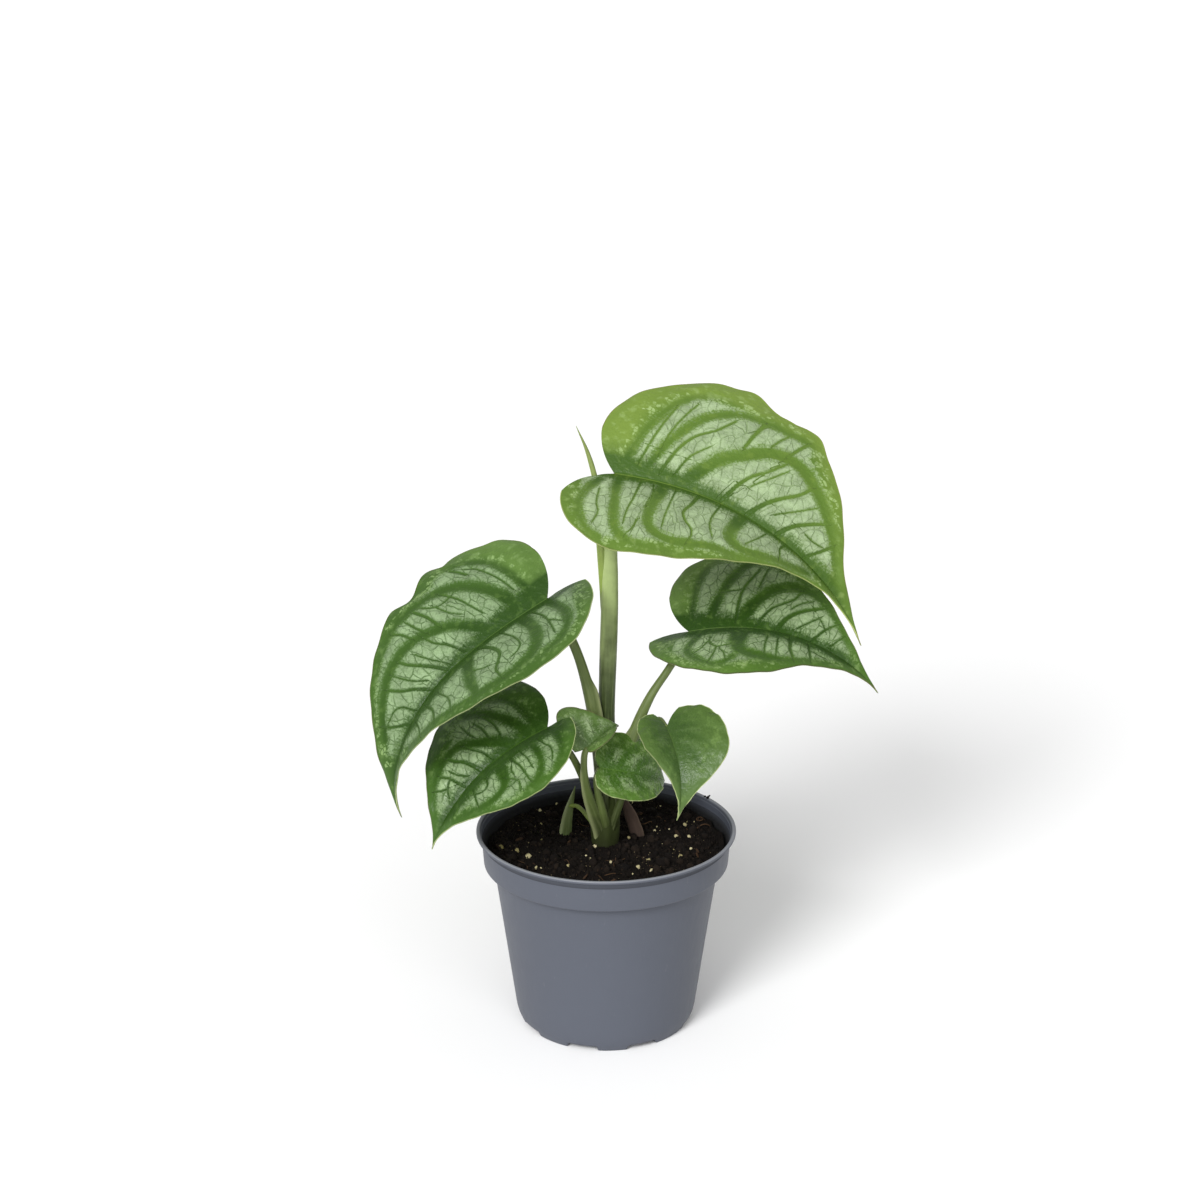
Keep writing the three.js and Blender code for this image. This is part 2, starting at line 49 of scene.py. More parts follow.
SOIL_LEVEL = 85.5

Colour = tuple[float, float, float]
Point = tuple[float, float]
Place = tuple[float, float, float]
Socket = bpy.types.NodeSocket
Groups = dict[str, bpy.types.NodeTree]
Materials = dict[str, bpy.types.Material]

logging.basicConfig(level=logging.INFO, format="%(message)s")
log = logging.getLogger("plant")


# Shapes worked out as whole arrays

def in_scene(name: str, data: bpy.types.ID) -> bpy.types.Object:
    """New object in the scene that shows a mesh, lamp or camera."""
    thing = bpy.data.objects.new(name, data)
    bpy.context.scene.collection.objects.link(thing)
    return thing


def circle(sides: int) -> np.ndarray:
    """Even angles of one turn."""
    return np.linspace(0, 2 * np.pi, sides, endpoint=False)


def turned(radius: np.ndarray, height: np.ndarray, angle: np.ndarray) -> np.ndarray:
    """Points at radii, heights and angles round the axis."""
    return np.stack(np.broadcast_arrays(radius * np.cos(angle), radius * np.sin(angle), height), -1)


def run_of(line: np.ndarray) -> np.ndarray:
    """Length along a line of points, at each of them."""
    return np.r_[0, np.cumsum(np.linalg.norm(np.diff(line, axis=0), axis=1))]


@dataclass
class Shell:
    """A closed surface in millimetres: points, faces by corner count, and named values at its points."""

    points: np.ndarray
    quads: np.ndarray
    triangles: np.ndarray = field(default_factory=lambda: np.zeros((0, 3), int))
    values: dict[str, np.ndarray] = field(default_factory=dict)

    def volume(self) -> float:
        """Signed volume: the sum of the tetrahedra from the origin to each triangle."""
        fan = np.vstack([self.quads[:, [0, 1, 2]], self.quads[:, [0, 2, 3]], self.triangles])
        a, b, c = (self.points[fan[:, k]] for k in range(3))
        return float(np.einsum("ij,ij->", a, np.cross(b, c)) / 6)

    def outward(self) -> "Shell":
        """Turns all faces round if the signed volume is negative."""
        if self.volume() < 0:
            self.quads = self.quads[:, ::-1]
            self.triangles = self.triangles[:, ::-1]
        return self

    def mesh(self, name: str) -> bpy.types.Mesh:
        """New mesh of the shell, in metres."""
        mesh = bpy.data.meshes.new(name)
        mesh.from_pydata((self.points * MM).tolist(), [], self.quads.tolist() + self.triangles.tolist())
        return mesh

    def piece(self, name: str, material: bpy.types.Material, slot: str, nodes: tuple[str, ...] = (),
              flat: bool = False) -> bpy.types.Object:
        """Makes the shell a Blender object that rides on the plant's body.

        Args:
            name: the piece's name.
            material: its finish.
            slot: the record's material slot that it belongs to; not used.
            nodes: the CAD nodes that it stands for.
            flat: True for faces that are shaded flat.

        Returns:
            The new object.
        """
        mesh = self.outward().mesh(name)
        mesh.polygons.foreach_set("use_smooth", np.full(len(mesh.polygons), not flat))
        for key, value in self.values.items():
            kind, field_name = ("FLOAT_VECTOR", "vector") if value.ndim == 2 else ("FLOAT", "value")
            layer = mesh.attributes.new(key, kind, "POINT")
            layer.data.foreach_set(field_name, value.astype(np.float32).ravel())
        mesh.materials.append(material)
        mesh.update()
        piece = in_scene(name, mesh)
        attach(piece, "root")
        if nodes:
            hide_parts(*nodes)
        log.info("%s: %d points, %d faces", name, len(self.points), len(mesh.polygons))
        return piece


def joined(shells: list[Shell]) -> Shell:
    """Puts shells into one, each turned outward first.

    Args:
        shells: the shells, which all have the same named values.

    Returns:
        One shell of them all.
    """
    starts = np.cumsum([0] + [len(s.points) for s in shells[:-1]])
    for shell in shells:
        shell.outward()
    return Shell(
        np.vstack([s.points for s in shells]),
        np.vstack([s.quads + n for s, n in zip(shells, starts)]),
        np.vstack([s.triangles + n for s, n in zip(shells, starts)]),
        {key: np.concatenate([s.values[key] for s in shells]) for key in shells[0].values},
    )


def smooth(low: float, high: float, value: np.ndarray) -> np.ndarray:
    """Smooth step: 0 below low, 1 above high, and 3t squared less 2t cubed between."""
    t = np.clip((value - low) / (high - low), 0, 1)
    return t * t * (3 - 2 * t)


def waves(x: np.ndarray, y: np.ndarray, size: float, seed: int, octaves: int = 4) -> np.ndarray:
    """Band-limited noise: sums of sine products at random angles, each octave half as long and half as high.

    Args:
        x: first coordinate.
        y: second coordinate.
        size: wavelength of the first octave.
        seed: number that picks the angles and phases.
        octaves: how many octaves are summed.

    Returns:
        Noise of about -1 to 1, with the shape of x.
    """
    rng = np.random.default_rng(seed)
    total = np.zeros_like(np.asarray(x, float))
    for octave in range(octaves):
        for _ in range(3):
            angle, p, q = rng.uniform(0, 2 * np.pi, 3)
            k = 2 * np.pi * 2 ** octave / (size * rng.uniform(0.8, 1.3))
            u = x * np.cos(angle) + y * np.sin(angle)
            v = y * np.cos(angle) - x * np.sin(angle)
            total += np.sin(k * u + p) * np.sin(k * v + q) * 0.5 ** octave / 1.5
    return total


def curve(course: tuple, count: int) -> np.ndarray:
    """Centripetal Catmull-Rom curve through the course, resampled at even steps of its length.

    Between two points it is the pyramid of linear blends over knots whose spacing is the square root of
    the distance between the points.

    Args:
        course: points, with the first and last as the ends.
        count: how many points to return.

    Returns:
        Points of shape (count, 2 or 3).
    """
    p = np.array(course, float)
    p = np.vstack([2 * p[0] - p[1], p, 2 * p[-1] - p[-2]])
    parts = []
    for p0, p1, p2, p3 in zip(p[:-3], p[1:-2], p[2:-1], p[3:]):
        knots = np.cumsum([0] + [np.linalg.norm(b - a) ** 0.5 for a, b in ((p0, p1), (p1, p2), (p2, p3))])
        t = np.linspace(knots[1], knots[2], 40)[:, None]

        def blend(a: np.ndarray, b: np.ndarray, low: float, high: float) -> np.ndarray:
            """Linear blend of a and b over the knots from low to high."""
            return ((high - t) * a + (t - low) * b) / (high - low)

        a1 = blend(p0, p1, knots[0], knots[1])
        a2 = blend(p1, p2, knots[1], knots[2])
        a3 = blend(p2, p3, knots[2], knots[3])
        b1 = blend(a1, a2, knots[0], knots[2])
        b2 = blend(a2, a3, knots[1], knots[3])
        parts.append(blend(b1, b2, knots[1], knots[2]))
    line = np.vstack(parts)
    way = run_of(line)
    even = np.linspace(0, way[-1], count)
    return np.stack([np.interp(even, way, line[:, k]) for k in range(line.shape[1])], -1)


def ring_faces(rings: int, sides: int, first: int = 0) -> np.ndarray:
    """Quads between neighbouring rings of a grid that closes round its sides."""
    i, k = np.meshgrid(np.arange(rings - 1), np.arange(sides), indexing="ij")
    a = first + i * sides + k
    b = first + i * sides + (k + 1) % sides
    return np.stack([a, b, b + sides, a + sides], -1).reshape(-1, 4)


def capped(rings: np.ndarray, start: np.ndarray, end: np.ndarray, values: dict[str, np.ndarray]) -> Shell:
    """Closes a stack of rings with a pole at each end.

    Args:
        rings: points of shape (rings, sides, 3).
        start: pole before the first ring.
        end: pole after the last ring.
        values: values at the rings' points, of shape (rings, sides) or (rings, sides, 3).

    Returns:
        The closed shell.
    """
    n, sides, _ = rings.shape
    points = np.vstack([rings.reshape(-1, 3), start, end])
    k = np.arange(sides)
    after = (k + 1) % sides
    low = np.stack([np.full(sides, n * sides), after, k], -1)
    high = np.stack([np.full(sides, n * sides + 1), (n - 1) * sides + k, (n - 1) * sides + after], -1)
    spread = {}
    for key, value in values.items():
        flat = value.reshape((n * sides,) + value.shape[2:])
        spread[key] = np.concatenate([flat, value[0].mean(0)[None], value[-1].mean(0)[None]])
    return Shell(points, ring_faces(n, sides), np.vstack([low, high]), spread)


# Node trees

@dataclass(frozen=True)
class Signal:
    """What a node puts out. Arithmetic on it adds Math nodes to the same tree."""

    graph: "Graph"
    socket: Socket

    def math(self, operation: str, other: "Feed" = 0.0, third: "Feed" = 0.0, clamp: bool = False) -> "Signal":
        """Result of a Math node on this and up to two more values."""
        inputs = {0: self, 1: other, 2: third}
        return self.graph.signal("ShaderNodeMath", 0, inputs, operation=operation, use_clamp=clamp)

    def __add__(self, other: "Feed") -> "Signal":
        """This plus another value."""
        return self.math("ADD", other)

    def __sub__(self, other: "Feed") -> "Signal":
        """This less another value."""
        return self.math("SUBTRACT", other)

    def __mul__(self, other: "Feed") -> "Signal":
        """This times another value."""
        return self.math("MULTIPLY", other)

    def __rsub__(self, other: float) -> "Signal":
        """A constant less this."""
        return self.math("MULTIPLY_ADD", -1.0, other)

    def most(self, other: "Feed") -> "Signal":
        """The greater of this and another value."""
        return self.math("MAXIMUM", other)

    def clamped(self) -> "Signal":
        """This kept between 0 and 1."""
        return self.math("ADD", clamp=True)

    def step(self, low: float, high: float) -> "Signal":
        """Smooth step from 0 at low to 1 at high. With low above high it falls."""
        start, end = (0.0, 1.0) if low < high else (1.0, 0.0)
        inputs = {"Value": self, "From Min": min(low, high), "From Max": max(low, high),
                  "To Min": start, "To Max": end}
        return self.graph.signal("ShaderNodeMapRange", "Result", inputs, interpolation_type="SMOOTHSTEP")


Feed = Signal | Socket | float | tuple


class Graph:
    """Adds nodes to one node tree and links them."""

    def __init__(self, tree: bpy.types.NodeTree) -> None:
        """Keeps the tree."""
        self.tree = tree

    def feed(self, node: bpy.types.Node, inputs: dict) -> None:
        """Links signals and sockets to a node's inputs, or sets their constants, by name or number."""
        for key, value in inputs.items():
            value = value.socket if isinstance(value, Signal) else value
            if isinstance(value, Socket):
                self.tree.links.new(value, node.inputs[key])
            else:
                node.inputs[key].default_value = value

    def add(self, kind: str, inputs: dict | None = None, **settings) -> bpy.types.Node:
        """Adds a node.

        Args:
            kind: the node's type name.
            inputs: values, sockets or signals for its inputs, by name or number.
            settings: the node's own settings.

        Returns:
            The node.
        """
        node = self.tree.nodes.new(kind)
        for key, value in settings.items():
            setattr(node, key, value)
        self.feed(node, inputs or {})
        return node

    def signal(self, kind: str, output: str | int, inputs: dict, **settings) -> Signal:
        """Output of a new node."""
        return Signal(self, self.add(kind, inputs, **settings).outputs[output])

    def mix(self, factor: Feed, a: Feed, b: Feed, blend: str = "MIX") -> Signal:
        """Mix of two colours by a factor."""
        return self.signal("ShaderNodeMix", 2, {0: factor, 6: a, 7: b}, data_type="RGBA", blend_type=blend)

    def value(self, name: str) -> Signal:
        """Value of a named attribute of the piece."""
        return self.signal("ShaderNodeAttribute", "Fac", {}, attribute_name=name)

    def vector(self, name: str) -> Signal:
        """Vector of a named attribute of the piece."""
        return self.signal("ShaderNodeAttribute", "Vector", {}, attribute_name=name)

    def place(self) -> Signal:
        """Object coordinates, in metres."""
        return self.signal("ShaderNodeTexCoord", "Object", {})

    def noise(self, vector: Feed, scale: Feed, detail: float = 3.0, rough: float = 0.55,
              output: str = "Fac") -> Signal:
        """Noise at a vector, from 0 to 1, as a value or a colour."""
        inputs = {"Vector": vector, "Scale": scale, "Detail": detail, "Roughness": rough}
        return self.signal("ShaderNodeTexNoise", output, inputs)

    def stretch(self, vector: Feed, scale: tuple[float, float, float]) -> Signal:
        """Vector scaled along its axes."""
        return self.signal("ShaderNodeMapping", "Vector", {"Vector": vector, "Scale": scale})

    def bent(self, vector: Feed, scale: float, reach: float) -> Signal:
        """Vector shifted by coloured noise, by up to half the reach in metres."""
        drift = self.noise(vector, scale, 3.0, 0.5, "Color")
        centred = self.signal("ShaderNodeVectorMath", 0, {0: drift, 1: (0.5, 0.5, 0.5)}, operation="SUBTRACT")
        far = self.signal("ShaderNodeVectorMath", 0, {0: centred, "Scale": reach}, operation="SCALE")
        return self.signal("ShaderNodeVectorMath", 0, {0: vector, 1: far}, operation="ADD")

    def cells(self, vector: Feed, scale: float, feature: str, output: str) -> Signal:
        """Output of flat Voronoi cells of a size of 1 / scale."""
        inputs = {"Vector": vector, "Scale": scale}
        return self.signal("ShaderNodeTexVoronoi", output, inputs, voronoi_dimensions="2D", feature=feature)

    def cracks(self, vector: Feed, scale: float) -> Signal:
        """Distance to the edges of flat cells of a size of 1 / scale."""
        return self.cells(vector, scale, "DISTANCE_TO_EDGE", "Distance")

    def mottled(self, groups: Groups, colour: Feed, size: float, amount: float) -> bpy.types.Node:
        """Node of the mottle group for a colour, the size of its spots and how strong they are."""
        return self.add("ShaderNodeGroup", {"Color": colour, "Size": size, "Amount": amount},
                        node_tree=groups["mottle"])

    def bump(self, principled: bpy.types.Node, height: Feed, distance: float) -> None:
        """Feeds a height, as a share of a distance in metres, through a Bump node to the shader's normal."""
        bumped = self.signal("ShaderNodeBump", 0, {"Height": height, "Distance": distance})
        self.feed(principled, {"Normal": bumped})


def group(name: str, ins: dict[str, tuple[str, object]],
          outs: dict[str, str]) -> tuple[Graph, dict[str, Signal], bpy.types.Node]:
    """Starts a shader node group.

    Args:
        name: the group's name.
        ins: kind and starting value of each input, by name.
        outs: kind of each output, by name.

    Returns:
        The graph, what comes in by name, and the node that takes what goes out.
    """
    tree = bpy.data.node_groups.new(name, "ShaderNodeTree")
    for key, (kind, start) in ins.items():
        tree.interface.new_socket(key, in_out="INPUT", socket_type=f"NodeSocket{kind}").default_value = start
    for key, kind in outs.items():
        tree.interface.new_socket(key, in_out="OUTPUT", socket_type=f"NodeSocket{kind}")
    graph, source = Graph(tree), tree.nodes.new("NodeGroupInput")
    return graph, {key: Signal(graph, source.outputs[key]) for key in ins}, tree.nodes.new("NodeGroupOutput")


def mottle_group() -> bpy.types.NodeTree:
    """Colour and height that vary by noise, on Object coordinates.

    The colour is scaled by 1 plus amount times the noise of two sizes, and the height is a fine noise.
    """
    g, given, out = group(
        "mottle",
        {"Color": ("Color", (0.5, 0.5, 0.5, 1)), "Size": ("Float", 50.0), "Amount": ("Float", 0.2)},
        {"Color": "Color", "Height": "Float"},
    )
    place = g.place()
    coarse = g.noise(place, given["Size"], 3.0, 0.5)
    fine = g.noise(place, given["Size"] * 9.0, 4.0, 0.5)
    tone = coarse * 1.4 + fine * 0.6 - 1.0
    factor = tone * given["Amount"] + 1.0
    grey = g.signal("ShaderNodeCombineColor", 0, {0: factor, 1: factor, 2: factor})
    g.feed(out, {"Color": g.mix(1.0, given["Color"], grey, "MULTIPLY"), "Height": fine})
    return g.tree


def marking_group() -> bpy.types.NodeTree:
    """Masks of a blade's silver marking and fine veins, from distances in millimetres.

    Side is the depth into a patch from the green bands, Line the distance outside the thin veins and
    Outer the depth inside the zone of solid silver. Comb holds the place along the nearest band and the
    distance from it, and noise that is long across and along the band frays the silver's edge. Near the
    edges small cells drop out of the silver by their own random value, until clusters of flecks are left.
    The net is the edges of bent cells.
    """
    g, given, out = group(
        "silver_marking",
        {"Side": ("Float", 0.0), "Outer": ("Float", 0.0), "Line": ("Float", 9.0), "Edge": ("Float", 9.0),
         "Blade": ("Vector", (0, 0, 0)), "Comb": ("Vector", (0, 0, 0)), "Fray": ("Float", 1.0)},
        dict.fromkeys(("Silver", "Loose", "Lines", "Net", "Cloud", "Grain"), "Float"),
    )
    blade, comb, line = given["Blade"], given["Comb"], given["Line"]
    grain = g.noise(blade, 950.0, 4.0, 0.7)
    cloud = g.noise(blade, 230.0)
    across = g.noise(g.stretch(comb, (1.0, 0.22, 1.0)), 1150.0, 2.5, 0.6)
    with_band = g.noise(g.stretch(comb, (0.13, 1.0, 1.0)), 700.0, 2.5, 0.6)
    rough = (grain - 0.5) * 3.4
    near = g.bent(blade, 420.0, 0.0026)
    island = g.signal("ShaderNodeSeparateColor", 0, {0: g.cells(near, 560.0, "F1", "Color")})

    depth = given["Side"] + ((across + with_band - 1.0) * 3.6 + rough) * given["Fray"] - 0.5
    wander = (cloud - 0.5) * 6.0 + given["Outer"]
    zone = wander.step(1.0, -2.5)
    clusters = g.noise(blade, 120.0, 2.0).step(0.34, 0.5) - 1.0
    kept = (wander.step(-8.5, 2.5) * 1.25 - island).step(-0.02, 0.22) * (zone * clusters + 1.0)
    loose = wander.step(2.5, -1.5).most(depth.step(2.2, 0.2) * 0.75)
    solid = (1.0 - loose * g.cracks(near, 560.0).step(0.17, 0.03)) * (loose * -0.28 + 1.0)
    silver = depth.step(-0.9, 1.5) * (rough * 0.7 + line).step(-0.1, 0.95) * solid

    wide = g.cracks(g.bent(g.stretch(blade, (1.6, 0.9, 1.0)), 90.0, 0.006), 165.0)
    small = g.cracks(g.bent(blade, 260.0, 0.003), 390.0)
    strong = wide.step(0.085, 0.015) * (g.noise(blade, 160.0, 2.0).step(0.30, 0.62) * 0.6 + 0.35)
    faint = small.step(0.13, 0.01) * (cloud.step(0.45, 0.62) * 0.35 + 0.08)
    g.feed(out, {
        "Silver": silver * (kept * given["Edge"].step(0.7, 2.4)), "Loose": zone,
        "Lines": (rough * 0.12 + line).step(0.4, -0.3) * (cloud.step(0.3, 0.55) * 0.45 + 0.5),
        "Net": strong.most(faint), "Cloud": cloud, "Grain": grain,
    })
    return g.tree


def linear(colour: Colour, scale: float | Colour = 1.0) -> tuple[float, float, float, float]:
    """Linear colour with alpha 1, from a display colour of 0 to 255 each, scaled first."""
    c = np.minimum(255, np.array(colour) * scale) / 255
    lin = np.where(c <= 0.04045, c / 12.92, ((c + 0.055) / 1.055) ** 2.4)
    return (*(float(v) for v in lin), 1.0)


def shader(name: str, roughness: float, specular: float) -> tuple[bpy.types.Material, Graph, bpy.types.Node]:
    """New material, its graph, and its Principled shader of that roughness and specular level."""
    material = bpy.data.materials.new(name)
    material.use_nodes = True
    graph, principled = Graph(material.node_tree), material.node_tree.nodes["Principled BSDF"]
    graph.feed(principled, {"Roughness": roughness, "Specular IOR Level": specular})
    return material, graph, principled


@dataclass(frozen=True)
class MottledFinish:
    """A plain stuff whose tone varies by noise, with fine bumps."""

    name: str
    colour: Colour
    roughness: float
    size: float
    amount: float
    bump_depth: float
    specular: float = 0.5

    def material(self, groups: Groups) -> bpy.types.Material:
        """Builds the material from the mottle group."""
        material, g, principled = shader(self.name, self.roughness, self.specular)
        mottle = g.mottled(groups, linear(self.colour), self.size, self.amount)
        g.feed(principled, {"Base Color": mottle.outputs["Color"]})
        g.bump(principled, mottle.outputs["Height"], self.bump_depth)
        return material


@dataclass(frozen=True)
class GrainFinish:
    """Small lumps whose colour goes from one tone to another by each lump's own random value."""

    name: str
    low: Colour
    high: Colour
    roughness: float
    bump_depth: float

    def material(self, groups: Groups) -> bpy.types.Material:
        """Builds the material from the lump's tone and the mottle group."""
        material, g, principled = shader(self.name, self.roughness, 0.15)
        mottle = g.mottled(groups, g.mix(g.value("tone"), linear(self.low), linear(self.high)), 300.0, 0.7)
        g.feed(principled, {"Base Color": mottle.outputs["Color"]})
        g.bump(principled, mottle.outputs["Height"], self.bump_depth)
        return material


@dataclass(frozen=True)
class LeafFinish:
    """A leaf's greens, its silver, how strong its marking is, how it frays and how rough its skin is."""

    name: str
    green: Colour
    dark: Colour
    margin: Colour
    silver: Colour
    under: Colour
    strength: float
    vein_shade: float = 0.85
    flecks: float = 0.85
    cracks: float = 0.85
    fray: float = 1.0
    relief: float = 0.00035
    gloss: float = 0.34
    edge_line: Colour = (92, 84, 52)
    # colour of the painted highlight line along lit margins
    edge_highlight: Colour = (176, 186, 132)

    def material(self, groups: Groups) -> bpy.types.Material:
        """Builds the blade's material.

        The green goes dark by the midrib and a little in the bands, and light towards the margin, partly by
        painted light. Silver covers it by the marking's mask, thin veins and the net are drawn over it in
        green, a painted highlight runs along the midrib near the joint, the margin has a thin brownish line
        or a painted highlight line, and the underside is pale with light ribs.

        Args:
            groups: the shared node groups.

        Returns:
            The material.
        """
        material, g, principled = shader(self.name, 0.42, 0.2)
        side, outer, edge = map(g.value, ("side", "outer", "edge"))
        rib, along, under = map(g.value, ("rib", "along", "under"))
        line, blade = g.value("thin") * -0.6 + g.value("line").math("ABSOLUTE"), g.vector("blade")
        marks = g.add("ShaderNodeGroup", {
            "Side": side, "Outer": outer, "Line": line, "Edge": edge, "Blade": blade,
            "Comb": g.vector("comb"), "Fray": self.fray,
        }, node_tree=groups["marking"])
        silver, loose, lines, net, cloud, grain = (Signal(g, socket) for socket in marks.outputs)
        green, dark, margin = linear(self.green), linear(self.dark), linear(self.margin)
        fleck = linear(self.silver, (1.06, 1.08, 0.94))

        lively = g.noise(blade, 75.0)
        light = edge.step(10.0, 0.5).most(outer.step(1.0, -6.0) * 0.9)
        # margin lightening: partly the margin's own paler green, partly painted light set per half by how
        # that half is lit
        base = g.mix(((lively - 0.5) * 1.1 + light).clamped() * g.value("pale_and_painted_light"), green, margin)
        base = g.mix(cloud.step(0.5, 0.72) * loose * edge.step(1.0, 4.0) * 0.35, base, fleck)
        by_rib = rib.step(19.0, 2.5) * along.step(1.25, 0.35)
        by_vein = side.step(1.2, -1.4) * (rib.step(34.0, 3.0) * 0.6 + 0.4)
        base = g.mix((by_vein * self.vein_shade + by_rib).clamped() * edge.step(0.5, 7.0), base, dark)
        base = g.mix(grain.step(0.5, 0.72) * 0.2, base, dark)
        base = g.mix(cloud.step(0.52, 0.68) * 0.3, base, margin)

        tone = (lively * 0.6 + cloud * 0.4).step(0.38, 0.62)
        pale = g.mix(loose, g.mix(tone, linear(self.silver), linear(self.silver, 0.86)), fleck)
        pale = g.mix(grain.step(0.44, 0.68) * 0.34, pale, green)
        silver = silver * ((loose * (self.flecks - 1.0) + 1.0) * self.strength)
        etched = net * silver
        top = g.mix(etched * self.cracks, g.mix(silver, base, pale), green)
        top = g.mix(lines * 0.75, top, g.mix(rib.step(24.0, 3.0), green, dark))
        # painted highlight: a thin light line on the midrib, fading out by the middle of the blade
        top = g.mix(rib.step(0.5, 0.12) * along.step(0.5, 0.1) * 0.55, top, margin)
        # margin line: brownish, or a painted highlight where lit_edge is 1
        rim = g.mix(g.value("lit_edge"), linear(self.edge_line), linear(self.edge_highlight))
        top = g.mix(edge.step(0.45, 0.08) * 0.8, top, rim)

        below = g.mix(lively.step(0.3, 0.7), linear(self.under), linear(self.under, 0.9))
        ribs = line.step(0.7, 0.0).most(rib.step(1.4, 0.4)).most(side.step(0.0, -1.5) * 0.7)
        below = g.mix(ribs * 0.45, below, linear(self.under, 1.12))
        below = g.mix(net * 0.3, below, green)
        g.feed(principled, {
            "Base Color": g.mix(under, top, below),
            "Roughness": under * 0.2 + (grain * 0.2 + (self.gloss - 0.1)),
        })
        g.bump(principled, g.noise(blade, 420.0) - etched * 0.9 - lines * 0.9, self.relief)
        return material


@dataclass(frozen=True)
class StalkFinish:
    """A stalk's colours at foot and top, that of its sheath's edge, and where foot turns to top."""

    name: str
    foot: Colour
    top: Colour
    wing: Colour
    turn: tuple[float, float] = (0.05, 0.6)
    roughness: float = 0.45

    def material(self, groups: Groups) -> bpy.types.Material:
        """Builds the material: foot to top by share of length, streaks along it, and a light sheath edge."""
        material, g, principled = shader(self.name, self.roughness, 0.25)
        way, wing = g.vector("way"), linear(self.wing)
        streak = g.noise(g.stretch(way, (1.0, 1.0, 0.06)), 900.0)
        shade = g.value("along") + (g.noise(way, 130.0) - 0.5) * 0.25
        base = g.mix(shade.step(*self.turn), linear(self.foot), linear(self.top))
        base = g.mix(streak.step(0.45, 0.7) * 0.16, base, wing)
        base = g.mix(g.value("wing") * 0.85, base, wing)
        g.feed(principled, {"Base Color": g.mottled(groups, base, 220.0, 0.22).outputs["Color"]})
        g.bump(principled, streak, 0.00015)
        return material


@dataclass(frozen=True)
class PotFinish:
    """Grey-blue moulded plastic: fine grain, scuffs, a painted lip highlight, painted shade and soil inside.
    """

    name: str
    colour: Colour
    # colour of the scuffs, and of the painted highlight along the lip
    worn_and_highlight: Colour
    # inner wall colour: painted shade, with some soil dirt
    soil: Colour
    roughness: float = 0.5

    def material(self, groups: Groups) -> bpy.types.Material:
        """Builds the material: mottle group, painted highlight on the lip, painted shade and soil inside."""
        material, g, principled = shader(self.name, self.roughness, 0.35)
        mottle = g.mottled(groups, linear(self.colour), 16.0, 0.07)
        place, inside = g.place(), g.value("inside")
        scuff = g.noise(g.stretch(place, (1.0, 1.0, 0.25)), 380.0, 5.0, 0.7)
        base = g.mix(scuff.step(0.62, 0.8) * 0.25, mottle.outputs["Color"], linear(self.worn_and_highlight))
        # painted highlight: the lip's top is lightened towards the scuff colour
        base = g.mix(g.value("lip") * 0.7, base, linear(self.worn_and_highlight))
        # below the rim the inner wall is painted nearly black: painted shade with some soil dirt, varied by
        # crumbs
        crumbs = g.noise(place, 700.0, 4.0, 0.7).step(0.5, 0.7)
        g.feed(principled, {
            "Base Color": g.mix(inside * (crumbs * 0.05 + 0.94), base, linear(self.soil)),
            "Roughness": (inside * 0.6 + (scuff * 0.2 + (self.roughness - 0.1))).clamped(),
        })
        g.bump(principled, g.noise(place, 1400.0), 0.00004)
        return material


# Leaves

@dataclass(frozen=True)
class Vein:
    """A side vein: its green's half width at start and end, in millimetres, and the points it passes.

    A point is a share of the blade's length and a share of the half's width.
    """

    width: tuple[float, float]
    course: tuple[Point, ...]

    def points(self, length: float, breadth: float, count: int = 40) -> tuple[np.ndarray, np.ndarray]:
        """Even points of the curve through the course in millimetres, and the half width at them."""
        line = curve([[px * length, py * breadth] for px, py in self.course], count)
        return line, np.linspace(*self.width, count)


def path(*numbers: int) -> tuple[Point, ...]:
    """Points in shares, from pairs of numbers in thousandths."""
    return tuple((x / 1000, y / 1000) for x, y in zip(numbers[::2], numbers[1::2]))


def veins(*rows: tuple[float, ...]) -> tuple[Vein, ...]:
    """Side veins, from rows of the two half widths in millimetres and then the course in thousandths."""
    return tuple(Vein(row[:2], path(*row[2:])) for row in rows)


@dataclass(frozen=True)
class Half:
    """Half a blade: its outline, its fold from the midrib and its marking.

    widest, lobe and notch are shares of the length. rib_band holds half the green's width along the midrib
    at 0, 0.25, 0.5 and 0.75 of the length. reach is the outer limit of solid silver. faint lists ellipses
    where silver breaks up: centre, half sizes and by how many millimetres. nicks lists waves of the margin:
    share of length, depth as a share of the width, and half length. pale is how light the green is off the
    marking, and between which shares of length that ends; that lightening is partly the margin's own paler
    green and partly painted light, set per half by how that half is lit. lit_edge is 1 for a painted
    highlight line along the margin in place of the brownish one.
    """

    width: float
    widest: float
    lobe: float
    notch: float
    fold: float
    arch: float
    rib_band: tuple[float, float, float, float]
    reach: tuple[Point, ...]
    bands: tuple[Vein, ...]
    lines: tuple[Vein, ...] = ()
    faint: tuple[tuple[float, float, float, float, float], ...] = ()
    nicks: tuple[tuple[float, float, float], ...] = ()
    pale: tuple[float, float, float] = (0.3, 0.2, 0.6)
    lit_edge: float = 0.0


class Grid(Enum):
    """How finely a blade is meshed: rows round its margin and columns from the midrib out."""

    LARGE = (210, 60)
    MEDIUM = (160, 46)
    SMALL = (90, 28)


